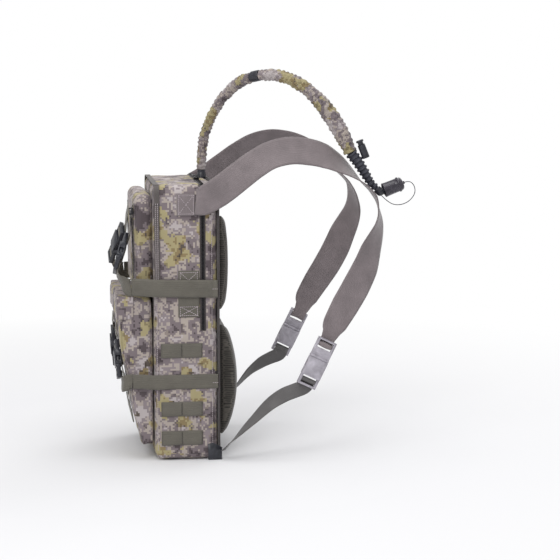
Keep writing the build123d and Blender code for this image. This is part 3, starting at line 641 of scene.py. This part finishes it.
outerCorner = (216 + 2 * 2.8) / 2 + 1.8
vertical = (0, 0, -1)
strapLift, overZipper = 119 + 0.8 + 0.25, 119 + 3 + 1.3
upperSeat = buckleSeat((90, -119, 328), (-26, 22, 58), (0, -1, 0), 23.24)
lowerSeat = buckleSeat((80, -113.7, 140), (-18, -2.9, 60), (0, -1, 0), 23.24)
shoulderSeat = buckleSeat((160, 238, 212), (2, -38, -77), (1, 0, 0), 36.68)

upperRun = [((strapLift, 54, 298), vertical, 30), ((strapLift, 44, 298), vertical, 30),
            ((overZipper, 36, 299), vertical, 30), ((overZipper, -18, 300), vertical, 30),
            ((strapLift + 1.6, -52, 301), vertical, 30), ((outerCorner + 3.5, -80, 302.2), vertical, 30),
            ((outerCorner, -92.5, 302.2), vertical, 30)]
lowerRun = [((strapLift, 54, 138), vertical, 25), ((strapLift, -20, 138), vertical, 25),
            ((strapLift, -54, 138), vertical, 25), ((outerCorner + 3, -76, 139.2), vertical, 25),
            ((outerCorner, -91.5, 139.2), vertical, 25)]
upperCorner = [((outerCorner, -93.3, 302.2), vertical, 30),
               ((outerCorner - 1.5, -97, 302.2), (-0.1, -0.1, -0.99), 30),
               ((106.5, -102.5, 306), (-0.35, -0.1, -0.9), 30),
               ((98.5, -110.5, 314), (-0.75, 0.1, -0.6), 30)]
lowerCorner = [((outerCorner, -92.2, 139.2), vertical, 25),
               ((outerCorner - 1, -100, 139.2), (-0.1, -0.1, -0.99), 25),
               ((104, -106.5, 133.5), (-0.45, -0.2, -0.85), 25),
               ((92, -108.5, 131.5), (-0.85, -0.1, -0.5), 25)]
upperTab = [((47, -87.8, 430), (-1, 0, -0.4), 30), ((51, -87.8, 419), (-1, 0, -0.4), 30),
            ((57.5, -90.5, 404), (-1, 0, -0.4), 30)]
lowerTab = [((52, -116.5, 232), (-1, 0, -0.3), 25), ((54.5, -116.9, 224), (-1, 0, -0.3), 25),
            ((57.5, -117, 214), (-1, 0, -0.3), 25)]
shoulderPath = [
    ((155.5, 244, 224), (0, 0.9, -0.45), 30), ((157, 250, 238), (0, 0.9, -0.45), 42),
    ((154, 268, 269), (0, 0.88, -0.48), 48), ((149.5, 287, 300), (-0.1, 0.85, -0.5), 50),
    ((144.5, 303, 331), (-0.25, 0.8, -0.5), 50), ((137.5, 315, 361), (-0.5, 0.7, -0.4), 50),
    ((128, 331, 400), (-0.85, 0.45, -0.2), 50), ((122, 332, 428), (-0.95, 0.2, 0.05), 50),
    ((119.5, 324, 454), (-1, 0, 0), 50), ((120, 306, 475), (-1, 0, 0), 50),
    ((121.5, 285, 493), (-0.92, 0.1, 0.25), 50), ((124, 263, 509), (-0.75, 0.1, 0.55), 50),
    ((127, 238, 522), (-0.58, 0, 0.8), 50), ((129, 210, 530), (-0.48, 0, 0.88), 50),
    ((130, 178, 533), (-0.44, 0, 0.9), 50), ((130, 146, 526), (-0.42, 0, 0.91), 50),
    ((128.5, 119, 511), (-0.36, -0.1, 0.93), 50), ((126.5, 92, 491), (-0.25, -0.1, 0.96), 50),
    ((125, 62, 468), (-0.1, -0.1, 0.99), 50), ((124.6, 41, 455), (0, -0.1, 1), 50),
    ((124.2, 28, 448), (0, -0.1, 1), 47), ((121.4, 17, 448), (0, 0, 1), 44)]
lowerPath = [((155.5, 180, 124), (0.3, 0.68, -0.7), 25), ((152, 162, 116), (0.45, 0.6, -0.65), 25),
             ((147, 139, 100), (0.75, 0.45, -0.46), 25), ((138, 110, 70), (0.95, 0.2, -0.2), 25),
             ((131, 89, 47), (0.99, 0, 0), 25), ((125.5, 73, 29), (0.97, -0.2, 0.2), 22),
             ((122, 62, 16), (0.93, -0.3, 0.3), 17)]

for side, turn in (("right", lambda stations: stations), ("left", mirrored)):
    capital = side.capitalize()
    upperEnd = upperCorner + barLoop(upperSeat, -12.74, 1, -23.24, 1.6, 30)
    lowerEnd = lowerCorner + barLoop(lowerSeat, -12.74, 1, -23.24, 1.6, 25)
    upperTabEnd = upperTab + barLoop(upperSeat, 32.26, -1, 42.76, 1.6, 30)
    lowerTabEnd = lowerTab + barLoop(lowerSeat, 32.26, -1, 42.76, 1.6, 25)
    shoulderEnd = list(reversed(shoulderPath)) + barLoop(shoulderSeat, -26.18, 1, -36.68, 1.6, 25)
    lowerEndPath = list(reversed(lowerPath)) + barLoop(shoulderSeat, 39.82, -1, 50.32, 1.6, 25)
    for name, stations, step, ripple in (("upperRun", upperRun, 0.003, 0.0008),
                                         ("lowerRun", lowerRun, 0.003, 0.0006),
                                         ("upperTab", upperTabEnd, 0.0015, 0.0),
                                         ("lowerTab", lowerTabEnd, 0.0015, 0.0)):
        piece = strip(name + capital, turn(stations), 1.6, oliveWebbing, step, ripple=ripple)
        settle(piece, "pack", "olive_webbing")
    upperPiece = strip("upperStrapEnd" + capital, turn(upperEnd), 1.6, oliveWebbing, 0.0015)
    lowerPiece = strip("lowerStrapEnd" + capital, turn(lowerEnd), 1.6, oliveWebbing, 0.0015)
    shoulderPiece = strip("shoulderStrap" + capital, turn(shoulderEnd), 2.2, lavenderWebbing, 0.003, 12,
                          cup=0.0012, ripple=0.0012)
    settle(shoulderPiece, "pack", "shoulder_fabric", "shoulder_strap_" + side)
    hangingPiece = strip("lowerWebbing" + capital, turn(lowerEndPath), 1.6, lowerStrapWebbing, 0.002,
                         ripple=0.0006)
    sign = 1 if side == "right" else -1
    for piece, start, end, body, node, slotName in (
            (upperPiece, (0.1108, -0.0945, 0.3022), (0.0945, -0.1140, 0.3180), "upper_buckle_" + side,
             "upper_strap_end_" + side, "olive_webbing"),
            (lowerPiece, (0.1108, -0.0945, 0.1392), (0.0880, -0.1100, 0.1340), "lower_buckle_" + side,
             "lower_strap_end_" + side, "olive_webbing"),
            (hangingPiece, (0.122, 0.062, 0.016), (0.1555, 0.190, 0.128), "shoulder_buckle_" + side,
             "lower_webbing_" + side, "olive_webbing")):
        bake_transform(piece)
        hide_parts(node)
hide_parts("upper_compression_straps")
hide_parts("lower_compression_straps")
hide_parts("buckle_tabs")
print("webbing made")


def flatBand(name, x, y0, y1, z, width, material, sign=1, swell=0.0011, tacks=2):
    stations = []
    count = 24
    for index in range(count + 1):
        share = index / count
        lift = swell * 1000 * abs(math.sin(math.pi * share * tacks)) ** 0.7
        stations.append(((sign * (x + lift), y0 + (y1 - y0) * share, z),
                         vertical if sign > 0 else (0, 0, 1), width))
    return strip(name, stations, 1.6, material, 0.003)


sideRows = []
for sign, capital in ((1, "Right"), (-1, "Left")):
    for row, height in enumerate((40, 90.8, 192.4)):
        piece = flatBand(f"gridRow{capital}{row}", 119.9, -44, 27, height, 25, oliveWebbing, sign)
        sideRows.append(settle(piece, "pack", "olive_webbing"))
    patch = strip(f"sidePatch{capital}",
                  [((sign * 119.9, 4.5, z), (0, sign, 0), 36) for z in range(250, 331, 5)],
                  1.6, oliveWebbing, 0.004)
    settle(patch, "pack", "olive_webbing")
    anchor = strip(f"shoulderAnchor{capital}",
                   [((sign * 120.4, 0.5, z), (0, sign, 0), 31) for z in (424, 430, 436, 443, 450, 456, 461)],
                   2.6, lavenderWebbing, 0.003)
    settle(anchor, "pack", "shoulder_fabric")
    sideRows += [patch, anchor]
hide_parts("side_grid_webbing")
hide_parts("side_patches")
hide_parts("shoulder_anchors")


def frontRow(name, place, slope, width):
    stations = [((x, place[0] - 0.6 - 0.9 * abs(math.sin(math.pi * (x + 75) / 37.5)) ** 0.7, place[1]),
                 slope, width) for x in range(-75, 76, 5)]
    return settle(strip(name, stations, 1.6, oliveWebbing, 0.004), "pack", "olive_webbing")


knee, belly = Vector((0, -93.5, 100)), Vector((0, -114, 225))
bellySlope = (belly - knee).normalized()
for row in range(2):
    spot = knee + bellySlope * (-28 + row * 50.8)
    frontRow(f"frontRow{row}", (spot.y - 1.2, spot.z), tuple(bellySlope), 25)
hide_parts("front_grid_webbing")
refined("bottomAnchors", "bottom_anchors", "pack", "olive_webbing", blackPlastic, 0.0006)
print("rows made")


# a stuffed cloth box: rounded, slightly swollen and creased
def softBox(name, low, high, radius, cells, material, shape=None, wrinkle=0.0012, swell=0.0):
    low, high = Vector(low) * millimetre, Vector(high) * millimetre
    centre, half = (low + high) / 2, (high - low) / 2
    form = bmesh.new()
    bmesh.ops.create_cube(form, size=2.0)
    bmesh.ops.subdivide_edges(form, edges=form.edges, cuts=cells, use_grid_fill=True)
    for vertex in form.verts:
        unit = vertex.co.copy()
        eased = Vector([math.sin(value * math.pi / 2) * 0.35 + value * 0.65 for value in unit])
        place = Vector([eased[axis] * half[axis] for axis in range(3)])
        core = Vector([max(-half[axis] + radius, min(half[axis] - radius, place[axis])) for axis in range(3)])
        away = place - core
        if away.length > 1e-9:
            longest = max(abs(part) for part in away)
            place = core + away.normalized() * min(longest, radius)
        bulge = swell * math.prod(max(0, 1 - unit[axis] ** 4) for axis in range(3) if abs(unit[axis]) < 0.999)
        outward = away.normalized() if away.length > 1e-9 else unit.normalized()
        place = place + centre
        rough = noise.noise(place * 18) + 0.5 * noise.noise(place * 45)
        fold = noise.noise(Vector((place.x * 12, place.y * 30, place.z * 9 + 3)))
        place += outward * (bulge + wrinkle * (rough + 0.8 * fold) - wrinkle)
        vertex.co = shape(place, unit) if shape else place
    mesh = bpy.data.meshes.new(name)
    form.to_mesh(mesh)
    form.free()
    mesh.polygons.foreach_set("use_smooth", [True] * len(mesh.polygons))
    return linkMesh(name, mesh, material)


def dented(place, unit):
    for height, depth, reach in ((0.300, 0.003, 0.020), (0.138, 0.003, 0.018), (0.228, 0.0015, 0.01)):
        away = abs(place.z - height)
        if away < reach and abs(unit.x) > 0.9:
            share = 0.5 + 0.5 * math.cos(math.pi * away / reach)
            place.x -= math.copysign(depth * share, place.x)
    return place


bodyPiece = softBox("packBody", (-119, -55, 0.6), (119, 54.6, 475), 0.015, 70, camoCloth, dented,
                    0.0011, 0.0016)
settle(bodyPiece, "pack", "camo_fabric", "main_compartment", "hydration_sleeve")
panelPiece = softBox("backPanel", (-119, 54, 0.6), (119, 58, 474), 0.0018, 40, darkTape, None, 0.0002)
panelPiece.data.uv_layers.new(name="strip")
panelLayer = panelPiece.data.uv_layers["strip"]
for corner in panelPiece.data.loops:
    spot = panelPiece.data.vertices[corner.vertex_index].co
    panelLayer.data[corner.index].uv = (spot.x, spot.z)
settle(panelPiece, "pack", "camo_fabric", "back_panel")


def pocketLean(place, unit):
    height = place.z * 1000
    stops = [(25, -78), (100, -93.5), (225, -114), (262, -112), (283, -101)]
    front = blendValues(stops, max(min(height, 283), 25))
    share = min(max((-56 - place.y * 1000) / 60, 0), 1)
    place.y = (-56 - share * (-56 - front) * 1.0) * millimetre
    return place


lowerPocket = softBox("lowerPocket", (-108, -116, 25), (108, -56, 283), 0.012, 60, camoCloth, pocketLean,
                      0.0016, 0.003)
settle(lowerPocket, "pack", "camo_fabric", "lower_pocket")
upperPocket = softBox("upperPocket", (-100, -87.2, 288), (100, -53, 458), 0.014, 56, camoCloth, None,
                      0.0013, 0.002)
settle(upperPocket, "pack", "camo_fabric", "upper_pocket")


def flapFall(place, unit):
    if place.z < 0.278:
        place.y -= 0.0006 + 0.0012 * noise.noise(Vector((place.x * 40, 0, 0)))
        place.z += 0.0025 * noise.noise(Vector((place.x * 30, 2, 0)))
    return place


flapPiece = softBox("pocketFlap", (-111, -118.5, 244.5), (111, -87.6, 286), 0.004, 46, camoCloth, flapFall,
                    0.0008, 0.001)
form = bmesh.new()
form.from_mesh(flapPiece.data)
middles = [(face, face.calc_center_median()) for face in form.faces]
lost = [face for face, middle in middles
        if middle.z < 0.2462 or (middle.y > -0.0895 and middle.z < 0.2815)]  # open below and behind
bmesh.ops.delete(form, geom=lost, context="FACES")
form.to_mesh(flapPiece.data)
form.free()
shell = flapPiece.modifiers.new("cloth", "SOLIDIFY")
shell.thickness = 0.0018
shell.offset = -1
applied(flapPiece)
flapPiece.data.polygons.foreach_set("use_smooth", [True] * len(flapPiece.data.polygons))
settle(flapPiece, "pack", "camo_fabric", "pocket_flap")
print("bags made")


padSettings = {"voxel": 0.005, "pressure": 4.0, "frames": 20, "cap": 0.006, "smoothing": 12}


# foam pad under mesh: swollen as cloth, then pressed in along two channels
def paddedPiece(name, node, settings):
    mesh = bpy.data.meshes.new(name)
    form = bmesh.new()
    form.from_mesh(nodes[node].data)
    bmesh.ops.remove_doubles(form, verts=form.verts, dist=0.00001)
    low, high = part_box(node)
    centre = (low + high) / 2
    for vertex in form.verts:
        vertex.co.x = centre.x + (vertex.co.x - centre.x) * 0.97
        vertex.co.z = centre.z + (vertex.co.z - centre.z) * 0.97
        vertex.co.y = low.y + 0.001 + (vertex.co.y - low.y) * 0.9
    form.to_mesh(mesh)
    form.free()
    piece = linkMesh(name, mesh, padMesh)
    grid = piece.modifiers.new("grid", "REMESH")
    grid.mode = "VOXEL"
    grid.voxel_size = settings["voxel"]
    calm = piece.modifiers.new("calm", "SMOOTH")
    calm.factor = 0.5
    calm.iterations = settings["smoothing"]
    applied(piece)
    rest = [vertex.co.copy() for vertex in piece.data.vertices]
    cloth = piece.modifiers.new("cloth", "CLOTH")
    cloth.settings.use_pressure = True
    cloth.settings.uniform_pressure_force = settings["pressure"]
    cloth.settings.effector_weights.gravity = 0
    scene.frame_start, scene.frame_end = 1, settings["frames"]
    cloth.point_cache.frame_start, cloth.point_cache.frame_end = 1, settings["frames"]
    for step in range(1, settings["frames"] + 1):
        scene.frame_set(step)
    applied(piece)
    scene.frame_set(1)
    for vertex, before in zip(piece.data.vertices, rest):
        shift = vertex.co - before
        if shift.length > settings["cap"]:
            vertex.co = before + shift.normalized() * settings["cap"]
        vertex.co.y = max(vertex.co.y, low.y + 0.0003)
        for channel in (-0.046, 0.046):
            near = abs(vertex.co.x - channel)
            if near < 0.008 and vertex.co.y > low.y + 0.006:
                vertex.co.y -= 0.004 * (1 - near / 0.008)
    finer = piece.modifiers.new("finer", "SUBSURF")
    finer.levels = finer.render_levels = 1
    applied(piece)
    piece.data.polygons.foreach_set("use_smooth", [True] * len(piece.data.polygons))
    settle(piece, "pack", "olive_mesh", node)


paddedPiece("backPadLower", "back_pad_lower", padSettings)
paddedPiece("backPadUpper", "back_pad_upper", padSettings)
print("pads swollen")

handle = {"halfWidth": 44.8, "low": 433.2, "high": 468.8, "radius": 13, "middle": 68.3, "width": 19.6}


def roundLoop(settings):
    spots = []
    for cornerX, cornerZ, first in ((1, 1, 0), (-1, 1, 90), (-1, -1, 180), (1, -1, 270)):
        midX = cornerX * (settings["halfWidth"] - settings["radius"])
        midZ = settings["high"] - settings["radius"] if cornerZ > 0 else settings["low"] + settings["radius"]
        for turn in range(0, 91, 15):
            angle = math.radians(first + turn)
            spots.append((midX + settings["radius"] * math.cos(angle),
                          midZ + settings["radius"] * math.sin(angle)))
    spots.append(spots[0])
    return [((x, settings["middle"], z), (0, 1, 0), settings["width"]) for x, z in spots]


haulPiece = strip("haulLoop", roundLoop(handle), 2.2, oliveWebbing, 0.003)
settle(haulPiece, "haul_loop", "olive_webbing", "haul_loop")


# up one side of the bag, over the top and down the other
def archSpots(inset, base, place, corner, across, width):
    halfWidth, high = 119 + inset, 475 + inset
    spots = [(halfWidth, base), (halfWidth, base + 60), (halfWidth, base + 140)]
    spots.append((halfWidth, high - corner - 20))
    for turn in range(0, 91, 15):
        angle = math.radians(turn)
        spots.append((halfWidth - corner + corner * math.cos(angle),
                      high - corner + corner * math.sin(angle)))
    spots += [(60, high), (20, high)]
    spots += [(-x, z) for x, z in reversed(spots)]
    return [((x, place, z), across, width) for x, z in spots]


zipTape = strip("mainZipperTape", archSpots(0.6, 226, 28.5, 14, (0, 1, 0), 10), 1.0, darkTape, 0.004)
settle(zipTape, "pack", "dark_zipper", "main_zipper_tape")
piping = strip("frontPiping", archSpots(0.6, 298, -49, 14, (0, 1, 0), 9), 1.0, edgeTape, 0.004)
settle(piping, "pack", "olive_webbing", "front_piping")


def lineObject(name, runs):
    points, edges = [], []
    for run in runs:
        first = len(points)
        points += [tuple(spot) for spot in run]
        edges += [(first + index, first + index + 1) for index in range(len(run) - 1)]
    mesh = bpy.data.meshes.new(name)
    mesh.from_pydata(points, edges, [])
    piece = bpy.data.objects.new(name, mesh)
    scene.collection.objects.link(piece)
    return piece


# small blocks repeated at even spacing along lines
def repeatTree(name, tilt):
    tree = bpy.data.node_groups.new(name, "GeometryNodeTree")
    made = {}
    made["Line"] = tree.interface.new_socket("Line", in_out="INPUT", socket_type="NodeSocketGeometry")
    for label in ("Spacing", "Length", "Width", "Height"):
        made[label] = tree.interface.new_socket(label, in_out="INPUT", socket_type="NodeSocketFloat")
    made["Finish"] = tree.interface.new_socket("Finish", in_out="INPUT", socket_type="NodeSocketMaterial")
    tree.interface.new_socket("Pieces", in_out="OUTPUT", socket_type="NodeSocketGeometry")
    given = tree.nodes.new("NodeGroupInput")
    result = tree.nodes.new("NodeGroupOutput")
    curve = addNode(tree, "GeometryNodeMeshToCurve", {0: given.outputs["Line"]})
    even = addNode(tree, "GeometryNodeResampleCurve",
                   {"Curve": curve.outputs[0], "Length": given.outputs["Spacing"]}, mode="LENGTH")
    tangent = addNode(tree, "GeometryNodeInputTangent")
    turn = addNode(tree, "FunctionNodeAlignRotationToVector", {"Vector": tangent.outputs[0]}, axis="X",
                   pivot_axis=tilt)
    sizes = addNode(tree, "ShaderNodeCombineXYZ", {0: given.outputs["Length"], 1: given.outputs["Width"],
                                                   2: given.outputs["Height"]})
    bead = addNode(tree, "GeometryNodeMeshCube", {"Size": sizes.outputs[0]})
    copies = addNode(tree, "GeometryNodeInstanceOnPoints",
                     {"Points": even.outputs[0], "Instance": bead.outputs[0], "Rotation": turn.outputs[0]})
    solid = addNode(tree, "GeometryNodeRealizeInstances", {0: copies.outputs[0]})
    painted = addNode(tree, "GeometryNodeSetMaterial", {"Geometry": solid.outputs[0],
                                                        "Material": given.outputs["Finish"]})
    tree.links.new(painted.outputs[0], result.inputs[0])
    return tree, made


def repeatAlong(name, runs, sizes, material, body, slotName, tilt="AUTO", *replaced):
    holder = lineObject(name, runs)
    tree, made = repeatTree(name + "Tree", tilt)
    maker = holder.modifiers.new("repeat", "NODES")
    maker.node_group = tree
    for label, value in sizes.items():
        maker[made[label].identifier] = value
    maker[made["Finish"].identifier] = material
    applied(holder)
    return settle(holder, body, slotName, *replaced)


def metres(spots):
    return [Vector(spot) * millimetre for spot in spots]


repeatSizes = {
    "mainTeeth": {"Spacing": 0.0022, "Length": 0.0012, "Width": 0.0026, "Height": 0.0018},
    "pocketTeeth": {"Spacing": 0.0022, "Length": 0.0012, "Width": 0.0018, "Height": 0.0026},
    "seam": {"Spacing": 0.0034, "Length": 0.0024, "Width": 0.0007, "Height": 0.0007},
    "tack": {"Spacing": 0.0009, "Length": 0.0009, "Width": 0.0005, "Height": 0.0005},
}
teethRuns = [metres([centre for centre, _, _ in archSpots(2.0, 228, 28.5 + shift, 15, (0, 1, 0), 5)])
             for shift in (-1.1, 1.1)]
repeatAlong("mainZipperTeeth", teethRuns, repeatSizes["mainTeeth"],
            pullMetal, "pack", "dark_zipper", "Y", "main_zipper_chain")
pocketRuns = [[Vector((0.09 + shift, -0.0882, 0.312)), Vector((0.09 + shift, -0.0882, 0.440))]
              for shift in (-0.0011, 0.0011)]
repeatAlong("pocketZipperTeeth", pocketRuns, repeatSizes["pocketTeeth"],
            pullMetal, "pack", "dark_zipper", "Y", "pocket_zipper_chain")


# a dense zigzag of thread across webbing
def tack(x, y, z, tall, wide, along):
    spots = []
    count = int(tall / 0.9)
    for index in range(count + 1):
        reach = wide / 2 * (-1 if index % 2 else 1)
        spots.append((x, y + reach, z - tall / 2 + tall * index / count) if along == "z"
                     else (x, y - tall / 2 + tall * index / count, z + reach))
    return metres(spots)


def boxStitch(x, y0, y1, z0, z1):
    return [metres([(x, y0, z0), (x, y1, z0), (x, y1, z1), (x, y0, z1), (x, y0, z0)]),
            metres([(x, y0, z0), (x, y1, z1)]), metres([(x, y0, z1), (x, y1, z0)])]


stitchRuns, tackRuns = [], []
for sign in (1, -1):
    face = sign * 121.0
    for height in (40, 90.8, 192.4):
        for spot in (-42, -8.5, 25.5):
            tackRuns.append(tack(face - sign * 0.2, spot, height, 22, 2.4, "z"))
    stitchRuns += boxStitch(face, -10, 19, 253, 268) + boxStitch(face, -10, 19, 300, 327)
    stitchRuns += boxStitch(sign * 122.0, -12, 13, 427, 458)
    for top, low in ((312, 284), (149.5, 126.5)):
        edge = sign * (strapLift + 1.0)
        stitchRuns += [metres([(edge, 53, top - 14), (edge, 46, top - 14)])]
    seam = sign * 119.4
    for place in (-50, 44):
        stitchRuns.append(metres([(seam, place, z) for z in range(20, 440, 12)]))
    for edge in (-47.5, -50.8):
        stitchRuns.append(metres([(sign * 120.3, edge, z) for z in range(300, 456, 12)]))
repeatAlong("seamStitches", stitchRuns, repeatSizes["seam"],
            paleThread, "pack", "olive_webbing")
repeatAlong("barTacks", tackRuns, repeatSizes["tack"],
            threadMaterial, "pack", "olive_webbing")
print("stitches sewn")

studioSettings = {"floor": (226, 226, 228), "world": 0.62,
                  "lamps": [("keyLamp", (2.2, -1.4, 2.4), 1.8, 46), ("topLamp", (0.3, 0.3, 2.8), 2.0, 30),
                            ("rearLamp", (-1.8, 1.8, 1.6), 1.6, 18)]}  # name, place, size, power


def makeStudio(settings):
    floorMesh = bpy.data.meshes.new("floor")
    floorMesh.from_pydata([(-9, -9, 0), (9, -9, 0), (9, 9, 0), (-9, 9, 0)], [], [(0, 1, 2, 3)])
    floorMaterial, tree, shader = startMaterial("floorPaint", 0.9)
    shader.inputs["Base Color"].default_value = tone(*settings["floor"])
    speck = addNode(tree, "ShaderNodeTexNoise", {"Vector": objectPlace(tree), "Scale": 40.0})
    addBumps(tree, shader, [(speck.outputs[0], 0.0005, 0.1)])
    apart = addNode(tree, "ShaderNodeVectorMath", {0: objectPlace(tree)}, operation="LENGTH").outputs["Value"]
    fade = addNode(tree, "ShaderNodeMapRange", {0: apart, 1: 0.5, 2: 1.5}).outputs[0]
    white = addNode(tree, "ShaderNodeEmission", {0: (1, 1, 1, 1), 1: 1.0})
    soft = addNode(tree, "ShaderNodeMixShader", {0: fade, 1: shader.outputs[0], 2: white.outputs[0]})
    seen = addNode(tree, "ShaderNodeMixShader", {1: shader.outputs[0], 2: soft.outputs[0]})
    tree.links.new(addNode(tree, "ShaderNodeLightPath").outputs["Is Camera Ray"], seen.inputs[0])
    tree.links.new(seen.outputs[0], tree.nodes["Material Output"].inputs[0])
    floor = linkMesh("floor", floorMesh, floorMaterial)
    world = bpy.data.worlds.new("studio")
    world.use_nodes = True
    scene.world = world
    tree = world.node_tree
    ground = tree.nodes["Background"]
    ground.inputs[0].default_value = (1, 1, 1, 1)
    ground.inputs[1].default_value = settings["world"]
    shown = addNode(tree, "ShaderNodeBackground", {0: (1, 1, 1, 1), 1: 1.0})
    ray = addNode(tree, "ShaderNodeLightPath")
    mix = addNode(tree, "ShaderNodeMixShader")
    tree.links.new(ray.outputs["Is Camera Ray"], mix.inputs[0])
    tree.links.new(ground.outputs[0], mix.inputs[1])
    tree.links.new(shown.outputs[0], mix.inputs[2])
    tree.links.new(mix.outputs[0], tree.nodes["World Output"].inputs[0])
    for name, place, size, power in settings["lamps"]:
        lamp = bpy.data.lights.new(name, "AREA")
        lamp.energy = power
        lamp.size = size
        holder = bpy.data.objects.new(name, lamp)
        scene.collection.objects.link(holder)
        holder.location = place
        holder.rotation_mode = "QUATERNION"
        holder.rotation_quaternion = (Vector((0, 0.1, 0.3)) - Vector(place)).to_track_quat("-Z", "Y")


makeStudio(studioSettings)
print("studio lit")
